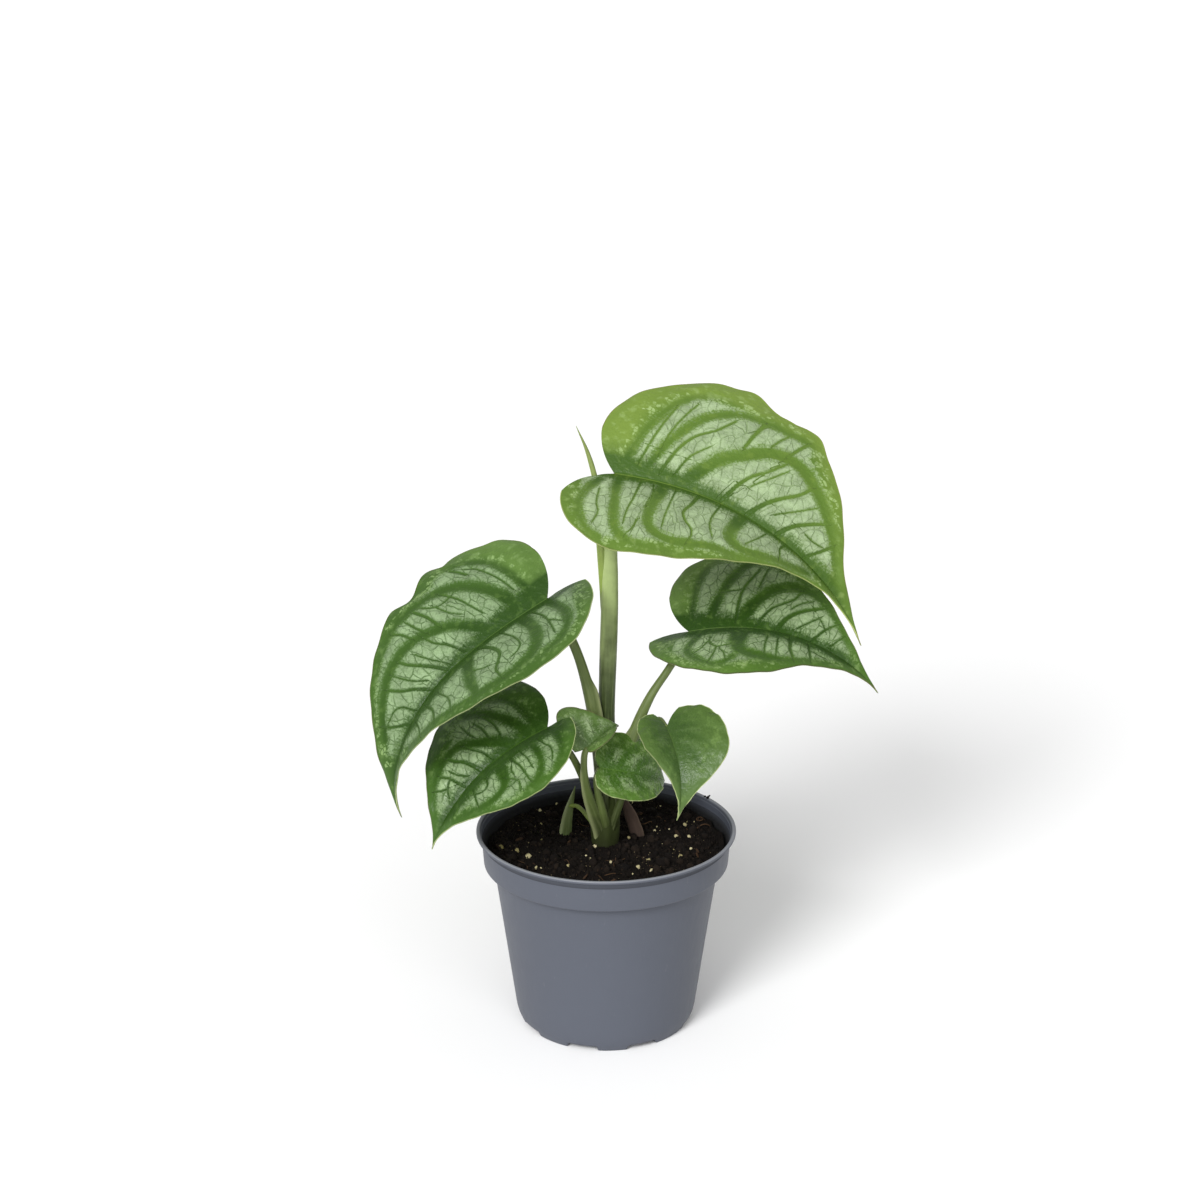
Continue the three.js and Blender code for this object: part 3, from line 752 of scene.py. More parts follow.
@dataclass(frozen=True)
class Leaf:
    """A leaf's blade: where it joins its stalk, how it is turned and bent, and its two halves."""

    name: str
    joint: Place
    turn: tuple[float, float, float]
    droop: float
    droop_power: float
    sweep: float
    lobe_lift: float
    length: float
    left: Half
    right: Half
    rounding: tuple[float, float, float, float]
    tip_width: float
    wave: float
    quilt: float
    grid: Grid
    slot: str = "leaf"
    bow: float = 0.2
    fan: float = 0.36
    thickness: float = 0.7
    margin_thickness: float = 0.34
    rib_depth: float = 1.0
    band_shift: float = 211.0

    def outline(self, half: Half, count: int = 240) -> np.ndarray:
        """Flat outline from the lobe's inner end over the widest point to the tip: two cubic Bezier curves.

        The nicks then scale its distance from the midrib by 1 plus bell curves of the length.

        Args:
            half: which half.
            count: points on each curve.

        Returns:
            Points of shape (2 * count - 1, 2), with y from the midrib out.
        """
        h0, h1, h2, h3 = self.rounding
        reach = self.length
        start = np.array([-half.lobe * reach, half.notch * reach])
        widest = np.array([half.widest * reach, half.width])
        tip = np.array([reach, 0.0])
        back = h1 * (half.widest + half.lobe) * reach
        front = (1 - half.widest) * reach
        t = np.linspace(0, 1, count)[:, None]

        def cubic(a: np.ndarray, b: np.ndarray, c: np.ndarray, d: np.ndarray) -> np.ndarray:
            """Cubic Bezier curve of four points."""
            return (1 - t) ** 3 * a + 3 * (1 - t) ** 2 * t * b + 3 * (1 - t) * t * t * c + t ** 3 * d

        lobe = cubic(start, start + (0, h0 * half.width), widest - (back, 0), widest)
        point = cubic(widest, widest + (h2 * front, 0), np.array([reach - h3 * front, self.tip_width]), tip)
        line = np.vstack([lobe, point[1:]])
        for share, depth, spread in half.nicks:
            line[:, 1] += depth * line[:, 1] * np.exp(-((line[:, 0] / reach - share) / spread) ** 2)
        return line

    def flat(self, half: Half) -> tuple[np.ndarray, np.ndarray, np.ndarray, np.ndarray]:
        """Flat coordinates of a half's grid, row by row along side veins that bow towards the lobe.

        A row starts at the joint up to the fan's share of the margin and along the midrib after it, and is a
        parabola whose control point is pushed sideways from the chord by the bow.

        Args:
            half: which half.

        Returns:
            x and y of the grid, and its shares u along the margin and b from midrib to margin.
        """
        rows, columns = self.grid.value
        outline = self.outline(half)
        way = run_of(outline)
        u, b = np.meshgrid(np.linspace(0, 1, rows + 1), np.linspace(0, 1, columns + 1), indexing="ij")
        end_x = np.interp(u * way[-1], way, outline[:, 0])
        end_y = np.interp(u * way[-1], way, outline[:, 1])
        start = self.length * np.clip((u - self.fan) / (1 - self.fan), 0, 1)
        dx = end_x - start
        bow = self.bow * np.sqrt(1 - u)
        control_x = start + 0.5 * dx - bow * end_y
        control_y = 0.5 * end_y + bow * dx
        x = (1 - b) ** 2 * start + 2 * b * (1 - b) * control_x + b * b * end_x
        y = 2 * b * (1 - b) * control_y + b * b * end_y
        return x, y, u, b

    def midrib(self, x: np.ndarray) -> tuple[np.ndarray, np.ndarray, np.ndarray]:
        """Bent midrib: point, side and up directions at distances x from the joint.

        Its direction turns down by droop times the share of length to a power and sideways by sweep times
        the share, and the points are the running sum of the directions.

        Args:
            x: distances along the midrib, negative behind the joint.

        Returns:
            Points, side directions and up directions, each with a last axis of 3.
        """
        way = np.linspace(-0.45 * self.length, self.length, 301)
        share = np.clip(way / self.length, 0, None)
        bend = np.radians(self.droop) * share ** self.droop_power
        bend = bend - np.radians(self.lobe_lift) * np.clip(-way / self.length, 0, None)
        turn = np.radians(self.sweep) * share
        ahead = np.stack([np.cos(bend) * np.cos(turn), np.cos(bend) * np.sin(turn), -np.sin(bend)], -1)
        run = np.vstack([np.zeros(3), np.cumsum((ahead[1:] + ahead[:-1]) / 2 * (way[1] - way[0]), axis=0)])
        side = np.stack([-np.sin(turn), np.cos(turn), np.zeros_like(turn)], -1)
        up = np.cross(ahead, side)

        def at(line: np.ndarray, where: np.ndarray) -> np.ndarray:
            """Values of a line of vectors at the distances where."""
            return np.stack([np.interp(where, way, line[:, k]) for k in range(3)], -1)

        return at(run, x) - at(run, np.zeros(1)), at(side, x), at(up, x)

    def bent(self, half: Half, sign: int, x: np.ndarray, y: np.ndarray, lift: np.ndarray) -> np.ndarray:
        """Places flat points in space: the half leaves the midrib at its fold angle and arches down from it.

        Across the blade the course is a circular arc, whose sideways and upward runs are the differences of
        sines and cosines of its angle.

        Args:
            half: which half.
            sign: 1 for the left half and -1 for the right.
            x: distance along the midrib.
            y: distance from it.
            lift: height above the smooth surface.

        Returns:
            Points in the blade's own frame.
        """
        fold = np.radians(half.fold)
        curl = np.radians(half.arch) / ((self.left.width + self.right.width) / 2)
        across = (np.sin(fold) - np.sin(fold - curl * y)) / curl
        rise = (np.cos(fold - curl * y) - np.cos(fold)) / curl
        point, side, up = self.midrib(x)
        return point + side * (sign * across)[..., None] + up * (rise + lift)[..., None]

    def marking(self, half: Half, x: np.ndarray, y: np.ndarray) -> dict[str, np.ndarray]:
        """Distances that the finish is drawn from, in millimetres of the flat blade.

        vein is the distance to the nearest side vein and edge that to the outline. side is the depth into
        a patch from the green along the veins and the midrib. line is the distance to the nearest thin
        vein, with another sign after each one that is crossed so that it keeps sharp between grid points,
        and thin is that vein's half width, which falls to -1 away from it. outer is the signed distance
        inside the reach, less what the faint ellipses take off. comb is the length along the midrib or the
        nearest band, each of which is shifted so that its silver frays in its own way, and side.

        Args:
            half: which half.
            x: flat x of the points.
            y: flat y of the points.

        Returns:
            The arrays by name.
        """
        flat = np.stack([x.ravel(), y.ravel()], -1)
        point = np.arange(len(flat))

        def nearest(route: np.ndarray, width: np.ndarray) -> tuple[np.ndarray, ...]:
            """Least distance to the route's segments, least distance less width, side and length along it."""
            a, d = route[:-1], np.diff(route, axis=0)
            off = flat[:, None] - a
            t = np.clip((off * d).sum(-1) / np.maximum((d * d).sum(-1), 1e-9), 0, 1)
            gap = np.linalg.norm(off - t[..., None] * d, axis=-1)
            k = gap.argmin(1)
            turn = d[k, 0] * off[point, k, 1] - d[k, 1] * off[point, k, 0]
            run = run_of(route)
            reached = run[k] + t[point, k] * (run[k + 1] - run[k])
            return gap[point, k], (gap - width[:-1]).min(1), np.where(turn > 0, 1.0, -1.0), reached

        far = 99.0
        vein, side, line, thin, sign, way = np.outer((far, far, far, -1, 1, 0), np.ones(len(flat)))
        for k, course in enumerate(half.bands):
            gap, clear, _, run = nearest(*course.points(self.length, half.width))
            way = np.where(clear < side, run + self.band_shift * (k + 1), way)
            vein, side = np.minimum(vein, gap), np.minimum(side, clear)
        for course in half.lines:
            gap, clear, hand, _ = nearest(*course.points(self.length, half.width, 24))
            closer = clear < line - thin
            line, thin = np.where(closer, gap, line), np.where(closer, gap - clear, thin)
            sign = sign * hand
        vein = np.minimum(vein, line + 1.0)
        thin = thin - (thin + 1) * smooth(1.5, 3.5, line)
        share = flat[:, 0] / self.length
        from_rib = 0.6 * (flat[:, 1] - np.interp(share, [0, 0.25, 0.5, 0.75], half.rib_band))
        way, side = np.where(from_rib < side, flat[:, 0], way), np.minimum(side, from_rib)
        comb = np.stack([way, side, np.zeros_like(way)], -1) * MM
        edge = nearest(self.outline(half, 60), np.zeros(119))[0]
        limit = np.array(half.reach) * (self.length, half.width)
        outer = nearest(limit, np.zeros(len(limit)))[0]
        within = flat[:, 1] < np.interp(flat[:, 0], limit[:, 0], limit[:, 1], left=-1.0, right=-1.0)
        outer = np.where(within, outer, -outer)
        for cx, cy, rx, ry, depth in half.faint:
            off = ((share - cx) / rx) ** 2 + ((flat[:, 1] / half.width - cy) / ry) ** 2
            outer = outer - depth * np.exp(-off)
        return {"vein": vein, "side": side, "line": sign * line, "thin": thin, "edge": edge,
                "outer": outer, "comb": comb}

    def shell(self) -> Shell:
        """Closed blade: top and bottom faces on one grid, and a rim between them round the margin.

        The side veins and the midrib stand out below, the skin swells between the veins, the margin waves,
        and the blade thins towards its margin.

        Returns:
            The shell in the part's frame, with the finish's values at its points.
        """
        rows, columns = self.grid.value
        middle, normals, thick, ribs, values = [], [], [], [], []
        for half, sign in ((self.left, 1), (self.right, -1)):
            x, y, u, b = self.flat(half)
            marks = self.marking(half, x, y)
            vein = marks["vein"].reshape(x.shape)
            fade = np.minimum(1, 8 * (1 - u))
            swell = self.quilt * (smooth(0, 6, vein) - 0.5) * np.sin(np.pi * b)
            ruffle = self.wave * np.cos(2 * np.pi * 6 * u) * b ** 3
            ruffle = ruffle + 0.5 * self.wave * np.cos(2 * np.pi * 13 * u + 1) * b ** 6
            place = self.bent(half, sign, x, y, fade * (ruffle + swell))
            normal = sign * np.cross(np.gradient(place, axis=0), np.gradient(place, axis=1))
            normal[:, 0] = normal[:, 1]
            normal[-1] = normal[-2]
            normal /= np.linalg.norm(normal, axis=-1, keepdims=True)
            middle.append(place.reshape(-1, 3))
            normals.append(normal.reshape(-1, 3))
            body = self.thickness + (self.margin_thickness - self.thickness) * smooth(0.85, 1.0, b)
            whole = smooth(1.02, 0.9, u)
            thick.append((body * whole + self.margin_thickness * (1 - whole)).ravel())
            rib = self.rib_depth * (1 - 0.85 * x / self.length) * np.exp(-(y / 0.9) ** 2)
            ribs.append((rib + 0.35 * np.exp(-(vein / 0.8) ** 2) * smooth(1.0, 0.8, b)).ravel())
            values.append({
                **marks, "rib": y.ravel(), "along": x.ravel() / self.length,
                "blade": np.stack([x.ravel(), sign * y.ravel(), np.zeros(x.size)], -1) * MM,
                "lit_edge": np.full(x.size, half.lit_edge),
                # how light the margin green goes: partly its own colour, partly painted light set per half
                "pale_and_painted_light": half.pale[0] * smooth(half.pale[2], half.pale[1], x.ravel() / self.length),
            })

        cells = (rows + 1) * (columns + 1)
        fan_rows = np.arange(rows + 1) <= self.fan * rows + 1e-6
        left = np.arange(cells).reshape(rows + 1, columns + 1)
        left[fan_rows, 0] = left[0, 0]
        left[-1] = left[-1, 0]
        right = np.arange(cells, 2 * cells).reshape(rows + 1, columns + 1)
        right[:, 0] = left[:, 0]
        right[-1] = left[-1]
        normal = np.vstack(normals)
        shared = left[:, 0]
        both = normal[left[:, 1]] + normal[right[:, 1]]
        normal[shared] = both / np.linalg.norm(both, axis=-1, keepdims=True)
        normal[left[0, 0]] = normal[left[rows // 2, 0]]

        def quads(ids: np.ndarray) -> np.ndarray:
            """Quads of a half's grid, row by row."""
            return np.stack([ids[:-1, :-1], ids[1:, :-1], ids[1:, 1:], ids[:-1, 1:]], -1).reshape(-1, 4)

        faces = np.vstack([quads(left), quads(right)[:, ::-1]])
        rim = np.concatenate([left[0], left[1:, -1], right[1:-1, -1][::-1], right[0, 1:][::-1]])
        every = np.concatenate([left.ravel(), right.ravel()])
        used, index = np.unique(every, return_inverse=True)
        renumber = np.zeros(2 * cells, int)
        renumber[every] = index
        faces, rim = renumber[faces], renumber[rim]
        middle, normal = np.vstack(middle)[used], normal[used]
        half_thick, ribs = np.concatenate(thick)[used, None] / 2, np.concatenate(ribs)[used, None]
        points = np.vstack([middle + normal * half_thick, middle - normal * (half_thick + ribs)])
        count = len(used)
        wall = np.stack([rim, np.roll(rim, -1), np.roll(rim, -1) + count, rim + count], -1)
        every = np.vstack([faces, faces[:, ::-1] + count, wall[:, ::-1]])
        same = [every[:, k] == every[:, (k + 1) % 4] for k in range(4)]
        whole = every[~np.any(same, axis=0)]
        narrow = [every[bad][:, [c for c in range(4) if c != k]] for k, bad in enumerate(same)]
        named = {key: np.concatenate([v[key] for v in values])[used] for key in values[0]}
        named = {key: np.concatenate([v, v]) for key, v in named.items()}
        named["under"] = np.r_[np.zeros(count), np.ones(count)]
        return Shell(self.placed(points), whole, np.vstack(narrow), named)

    def placed(self, points: np.ndarray) -> np.ndarray:
        """Turns points by roll, then pitch, then yaw, and moves them to the joint."""
        (sz, sy, sx), (cz, cy, cx) = np.sin(np.radians(self.turn)), np.cos(np.radians(self.turn))
        about_z = np.array([[cz, -sz, 0], [sz, cz, 0], [0, 0, 1]])
        about_y = np.array([[cy, 0, -sy], [0, 1, 0], [sy, 0, cy]])
        about_x = np.array([[1, 0, 0], [0, cx, -sx], [0, sx, cx]])
        return points @ (about_z @ about_y @ about_x).T + np.array(self.joint)

    def build(self, materials: Materials) -> None:
        """Makes the blade's piece in the place of its node."""
        self.shell().piece(f"{self.name}_blade", materials[self.name], self.slot, (self.name,))


LEAVES = (
    Leaf(
        "leaf_top", joint=(4, 4, 264.1), turn=(-9.5, -6, 26), droop=61, droop_power=1.4, sweep=-27,
        lobe_lift=3, length=142.5, rounding=(0.33, 0.37, 0.47, 0.49), tip_width=0.6, wave=0.4, quilt=1.0,
        grid=Grid.LARGE, slot="leaf_young",
        left=Half(
            65, 0.29, 0.07, 0.15, 27, 35, rib_band=(9.0, 4.0, 1.6, 3.5), pale=(1.0, 0.45, 0.85),
            reach=path(30, 100, 70, 500, 130, 740, 200, 780, 500, 770, 530, 600, 600, 430, 700, 250, 740,
                       100),
            bands=veins(
                (1.6, 1.4, 20, 80, 50, 330, 85, 520, 130, 700, 170, 800, 200, 840),
                (1.2, 1.8, 90, 80, 125, 280, 160, 430, 200, 580, 235, 660, 290, 740, 360, 765, 440, 775,
                 500, 790),
                (2.3, 2.6, 200, 0, 250, 180, 300, 330, 350, 420, 400, 515, 450, 560),
                (2.5, 1.8, 450, 560, 500, 545, 560, 465, 620, 375, 670, 285, 720, 200, 770, 100),
            ),
            lines=veins(
                (0.5, 0.3, 65, 120, 90, 350, 108, 500, 125, 630),
                (0.3, 0.2, 115, 200, 130, 400, 155, 580, 175, 700),
                (0.9, 0.4, 135, 80, 168, 300, 200, 420, 250, 530, 285, 660),
                (0.5, 0.1, 180, 100, 205, 250, 250, 380),
                (0.7, 1.1, 335, 470, 345, 600, 358, 730),
                (0.35, 0.2, 400, 580, 410, 650, 430, 750),
                (0.8, 0.7, 450, 570, 465, 670, 480, 760),
                (1.2, 0.5, 340, 20, 360, 150, 385, 270, 420, 370, 455, 500),
                (0.2, 0.15, 395, 200, 435, 330, 470, 460),
                (1.4, 0.6, 430, 20, 460, 150, 500, 270, 530, 350, 550, 450),
                (0.15, 0.15, 500, 120, 550, 240, 590, 350),
                (1.4, 0.7, 540, 20, 565, 130, 600, 220, 640, 310),
                (0.3, 0.2, 610, 150, 640, 145, 670, 160),
                (0.7, 0.7, 650, 20, 675, 120, 695, 220),
            ),
            faint=((0.15, 0.62, 0.06, 0.25, 1.6), (0.09, 0.3, 0.04, 0.2, 1.0),
                   (0.5, 0.65, 0.03, 0.12, 2.2)),
            nicks=((0.15, 0.03, 0.04), (0.21, 0.03, 0.04), (0.3, 0.03, 0.035), (0.385, -0.075, 0.045),
                   (0.43, -0.02, 0.02), (0.505, 0.06, 0.035), (0.78, -0.2, 0.05)),
        ),
        right=Half(
            53, 0.06, 0.14, 0.16, 21, 33, rib_band=(4.5, 3.2, 2.0, 2.5), lit_edge=1.0, pale=(0.1, 0.3, 0.8),
            reach=path(-90, 150, -80, 500, -50, 800, 0, 900, 70, 870, 150, 850, 220, 830, 350, 690, 450,
                       570, 550, 420, 650, 250, 710, 100),
            bands=veins(
                (1.4, 1.2, -40, 150, -70, 360, -78, 550, -60, 720, -30, 840, 10, 910),
                (1.5, 1.8, 20, 0, 20, 250, 30, 450, 40, 620, 57, 760, 90, 855, 150, 900, 240, 880, 330,
                 800),
                (2.0, 1.9, 160, 0, 158, 200, 150, 400, 150, 550, 165, 660, 200, 725, 260, 735, 320, 690),
                (1.7, 1.2, 320, 690, 370, 630, 430, 585, 500, 520, 570, 410, 640, 300),
                (2.6, 1.2, 425, 0, 415, 200, 410, 330, 420, 420, 460, 455, 520, 400, 580, 300, 640, 200,
                 690, 100),
            ),
            lines=veins(
                (0.5, 0.25, 88, 50, 85, 350, 78, 550, 80, 700),
                (0.3, 0.25, 130, 100, 140, 300, 135, 420),
                (0.2, 0.3, 100, 820, 115, 730, 120, 620),
                (0.2, 0.2, -30, 300, -25, 500, -12, 620, -20, 750),
                (0.2, 0.2, 200, 80, 200, 300, 200, 450, 205, 620),
                (1.1, 0.3, 272, 50, 262, 220, 250, 360, 265, 450, 295, 530, 305, 610, 300, 700),
                (0.4, 0.2, 345, 60, 338, 280, 345, 400, 365, 500),
                (0.5, 0.35, 580, 30, 572, 130, 580, 200, 585, 270),
                (0.15, 0.15, 510, 80, 495, 200, 470, 360),
            ),
            faint=((0.25, 0.83, 0.1, 0.07, 2.6), (0.48, 0.5, 0.1, 0.09, 1.8), (0.39, 0.5, 0.02, 0.12, 1.5)),
        ),
    ),
    Leaf(
        "leaf_right", joint=(38.2, 12, 186.7), turn=(-15, 15, 20), droop=70, droop_power=1.4, sweep=-18,
        lobe_lift=-9, length=96.5, rounding=(0.43, 0.5, 0.35, 0.39), tip_width=1.2, wave=0.3, quilt=0.9,
        grid=Grid.MEDIUM,
        left=Half(
            45, 0.22, 0.11, 0.21, 23, 20, rib_band=(8.5, 4.6, 1.8, 1.6), pale=(0.9, 0.1, 0.5),
            reach=path(20, 150, 25, 600, 60, 770, 140, 840, 220, 820, 340, 760, 450, 620, 550, 500, 620,
                       380, 680, 270, 730, 180, 790, 30),
            bands=veins(
                (1.0, 1.2, 10, 0, 12, 300, 18, 500, 35, 670, 60, 800, 100, 880),
                (1.9, 1.2, 100, 0, 110, 200, 130, 360, 155, 500, 180, 620, 205, 720, 250, 830, 330, 870),
                (2.3, 2.4, 235, 0, 262, 160, 290, 280, 330, 400, 380, 500, 440, 555, 500, 560),
                (2.1, 1.3, 500, 560, 560, 515, 610, 440, 660, 360, 710, 270, 760, 170),
            ),
            lines=veins(
                (0.8, 0.6, 222, 100, 226, 350, 240, 500, 265, 620, 285, 720),
                (0.3, 0.3, 150, 440, 185, 450, 220, 460),
                (0.4, 0.3, 300, 500, 310, 620, 320, 740),
                (0.7, 0.5, 325, 50, 350, 170, 380, 270, 420, 340, 460, 420, 475, 500),
                (1.7, 0.9, 420, 30, 450, 170, 480, 250, 520, 320, 580, 400),
                (0.15, 0.15, 460, 300, 490, 380, 530, 440),
                (0.35, 0.2, 510, 100, 550, 200, 585, 290),
                (0.2, 0.2, 585, 290, 610, 240, 625, 200),
                (0.7, 0.4, 595, 40, 630, 200, 660, 290),
                (0.3, 0.2, 680, 50, 695, 130, 710, 200),
            ),
            faint=((0.06, 0.6, 0.05, 0.25, 1.8), (0.27, 0.36, 0.035, 0.1, 3.0),
                   (0.3, 0.68, 0.07, 0.15, 1.3)),
        ),
        right=Half(
            40, 0.29, 0.18, 0.08, 21, 25, rib_band=(7.0, 7.0, 5.0, 4.5),
            reach=path(-40, 200, -70, 350, -55, 520, 30, 700, 100, 780, 180, 820, 250, 820, 320, 780, 380,
                       720, 460, 640, 530, 520, 620, 380, 680, 260, 730, 120),
            bands=veins(
                (1.3, 1.2, 60, 0, 65, 180, 50, 320, 36, 450, 42, 560, 70, 660, 110, 745, 160, 820, 210, 840,
                 255, 770, 280, 680),
                (4.2, 2.7, 265, 0, 265, 150, 267, 300, 278, 450, 300, 560),
                (2.7, 1.5, 300, 560, 360, 610, 430, 615, 500, 595, 560, 530, 610, 450, 660, 370, 720, 260),
            ),
            lines=veins(
                (0.35, 0.3, 165, 780, 178, 620, 175, 500, 140, 420, 130, 280),
                (0.35, 0.3, 175, 500, 200, 490, 230, 460),
                (0.25, 0.2, 80, 600, 105, 520, 125, 380),
                (0.25, 0.2, 240, 720, 225, 620, 200, 550),
                (0.4, 0.3, 395, 180, 400, 380, 412, 540),
                (0.4, 0.3, 445, 200, 458, 400, 466, 540),
                (1.2, 0.6, 495, 50, 505, 200, 515, 330, 535, 440, 550, 520),
                (0.7, 0.5, 585, 80, 600, 220, 620, 380),
                (0.4, 0.3, 620, 200, 650, 210, 680, 200),
            ),
            faint=((0.0, 0.35, 0.09, 0.3, 1.6), (0.32, 0.75, 0.05, 0.08, 0.8),
                   (0.44, 0.72, 0.06, 0.08, 2.6), (0.63, 0.3, 0.05, 0.2, 1.2)),
            nicks=((0.36, -0.02, 0.08), (0.62, -0.09, 0.1)),
        ),
    ),
    Leaf(
        "leaf_left", joint=(-26.5, -6, 208.7), turn=(-156, -25, -6), droop=86, droop_power=2, sweep=5,
        lobe_lift=-3, length=130.5, rounding=(0.43, 0.55, 0.44, 0.38), tip_width=1.1, wave=0.4, quilt=1.0,
        grid=Grid.LARGE,
        left=Half(
            50, 0.17, 0.14, 0.06, 21, 32, rib_band=(7.0, 6.0, 8.5, 4.0), lit_edge=1.0,
            pale=(0.5, 0.0, 0.25),
            reach=path(-90, 100, -80, 450, -20, 700, 50, 790, 120, 800, 200, 800, 380, 800, 430, 700, 500,
                       590, 580, 460, 660, 310, 710, 150),
            bands=veins(
                (1.9, 1.3, 5, 0, 5, 250, 0, 450, 12, 600, 40, 720, 90, 820, 150, 860),
                (2.6, 1.9, 125, 0, 120, 200, 120, 400, 130, 550, 155, 680, 200, 775, 270, 810, 340, 800),
                (1.9, 1.4, 340, 800, 400, 750, 460, 670, 520, 575, 580, 470, 640, 360, 700, 250),
                (3.0, 1.5, 340, 0, 360, 200, 380, 350, 400, 500, 408, 620, 420, 740),
            ),
            lines=veins(
                (0.7, 0.35, 75, 150, 65, 380, 73, 550, 85, 700),
                (0.3, 0.2, 40, 600, 55, 520, 65, 450),
                (0.3, 0.35, 205, 120, 190, 400, 197, 550, 220, 610, 250, 630),
                (1.6, 0.45, 290, 100, 268, 280, 265, 460, 290, 560, 315, 640, 320, 780),
                (0.25, 0.2, 320, 520, 345, 460, 365, 400),
                (0.3, 0.25, 495, 200, 487, 420, 505, 560),
                (0.9, 0.6, 555, 120, 550, 320, 570, 460),
                (0.4, 0.3, 620, 120, 625, 250, 640, 360),
            ),
            faint=((0.06, 0.5, 0.05, 0.35, 1.2), (-0.05, 0.45, 0.04, 0.3, 4.5),
                   (0.62, 0.25, 0.05, 0.2, 1.5)),
        ),
        right=Half(
            55, 0.23, 0.08, 0.19, 30, 33, rib_band=(11.0, 4.5, 0.8, 0.8), pale=(1.0, 0.0, 0.32),
            reach=path(40, 150, 50, 500, 70, 660, 110, 760, 160, 840, 220, 880, 280, 800, 440, 720, 500,
                       650, 560, 520, 650, 360, 720, 220, 770, 80),
            bands=veins(
                (1.6, 1.5, 25, 0, 34, 300, 45, 480, 65, 630, 100, 750, 145, 850, 190, 910),
                (2.7, 1.8, 90, 0, 100, 150, 115, 280, 142, 420, 175, 540, 215, 640, 270, 715, 340, 750, 420,
                 750),
                (1.7, 1.4, 420, 750, 480, 710, 530, 640, 590, 550, 660, 440, 730, 330),
                (2.3, 2.0, 200, 0, 240, 130, 270, 220, 310, 320, 360, 395, 410, 455, 470, 480),
                (2.2, 1.4, 470, 480, 530, 455, 600, 385, 670, 285, 730, 180),
            ),
            lines=veins(
                (0.4, 0.3, 70, 250, 82, 420, 100, 560, 120, 680, 150, 760),
                (0.8, 0.8, 155, 680, 170, 770, 185, 840),
                (0.25, 0.5, 200, 220, 215, 350, 232, 500, 250, 600, 265, 680),
                (0.5, 0.4, 240, 575, 280, 565, 310, 600, 335, 680),
                (0.15, 0.15, 260, 350, 285, 450, 300, 570),
                (0.9, 0.8, 335, 400, 343, 550, 362, 700),
                (0.5, 0.4, 380, 440, 392, 550, 400, 670),
                (0.6, 0.6, 425, 500, 435, 600, 455, 700),
                (0.6, 0.45, 335, 70, 360, 200, 385, 300, 397, 420),
                (1.2, 0.6, 420, 40, 445, 150, 470, 250, 490, 330, 505, 430),
                (0.15, 0.15, 400, 60, 430, 200, 455, 360),
                (1.0, 0.6, 510, 40, 540, 150, 570, 240, 592, 350),
                (0.3, 0.2, 490, 100, 520, 200, 540, 320, 548, 400),
                (0.4, 0.3, 595, 40, 612, 160, 635, 200, 670, 200),
                (0.8, 0.6, 645, 20, 680, 140, 700, 240),
            ),
            faint=((0.09, 0.45, 0.05, 0.25, 1.6), (0.2, 0.18, 0.08, 0.1, 4.0), (0.46, 0.6, 0.04, 0.12, 2.2),
                   (0.72, 0.1, 0.05, 0.1, 1.2)),
            nicks=((0.03, -0.03, 0.04), (0.135, 0.035, 0.035), (0.19, -0.035, 0.02), (0.245, 0.055, 0.035),
                   (0.345, -0.095, 0.045), (0.41, 0.035, 0.03), (0.6, -0.03, 0.04)),
        ),
    ),
    Leaf(
        "leaf_low_left", joint=(-26.5, -24, 153.9), turn=(-158, -19, -19), droop=52, droop_power=1.3,
        sweep=15, lobe_lift=-9, length=77.5, rounding=(0.49, 0.53, 0.46, 0.32), tip_width=1.3, wave=0.3,
        quilt=0.8, grid=Grid.MEDIUM,
        left=Half(
            32.5, 0.27, 0.15, 0.02, 20, 33, rib_band=(6.0, 7.5, 6.0, 5.0), lit_edge=1.0,
            reach=path(0, 100, 10, 500, 50, 700, 120, 800, 250, 820, 360, 820, 450, 780, 520, 700, 580, 520,
                       650, 360, 700, 200),
            bands=veins(
                (1.3, 1.1, -20, 0, -15, 300, -5, 500, 30, 670, 70, 780, 110, 850),
                (1.4, 1.1, 135, 0, 136, 250, 138, 400, 150, 550, 175, 670, 205, 760, 250, 830, 320, 870),
                (2.7, 1.7, 345, 0, 360, 200, 375, 350, 390, 480, 420, 560),
                (1.4, 1.1, 420, 560, 470, 595, 540, 580, 600, 515, 660, 420, 720, 320),
            ),
            lines=veins(
                (0.3, 0.25, 85, 200, 75, 350, 62, 420, 70, 550, 100, 680),
                (0.2, 0.2, 215, 220, 210, 400, 220, 600),
                (0.6, 0.35, 283, 250, 272, 450, 275, 600, 280, 760),
                (0.3, 0.3, 362, 800, 335, 670, 352, 560, 375, 480),
                (0.25, 0.25, 342, 620, 365, 630, 395, 620),
                (0.3, 0.3, 310, 350, 325, 420, 330, 500),
                (0.5, 0.35, 465, 220, 485, 320, 530, 330, 565, 260),
                (0.4, 0.4, 570, 200, 585, 320, 600, 420),
            ),
            faint=((0.5, 0.35, 0.1, 0.2, 0.9), (0.5, 0.7, 0.06, 0.1, 1.0), (0.64, 0.25, 0.04, 0.12, 1.5)),
        ),
        right=Half(
            40.5, 0.29, 0.08, 0.21, 22, 40, rib_band=(6.5, 3.2, 1.8, 1.8),
            reach=path(50, 150, 60, 450, 120, 620, 200, 680, 300, 720, 420, 700, 470, 570, 550, 440, 630,
                       370, 700, 310, 750, 230, 790, 80),
            bands=veins(
                (1.2, 1.2, 45, 0, 58, 250, 66, 400, 80, 520, 110, 630, 160, 720),
                (2.2, 1.4, 100, 0, 130, 200, 160, 320, 190, 430, 220, 530, 260, 630, 320, 730),
                (2.2, 1.6, 200, 0, 250, 110, 300, 200, 350, 285, 400, 365, 440, 430, 500, 455),
                (1.8, 1.3, 500, 455, 560, 445, 620, 410, 680, 360, 740, 290, 790, 200),
            ),
            lines=veins(
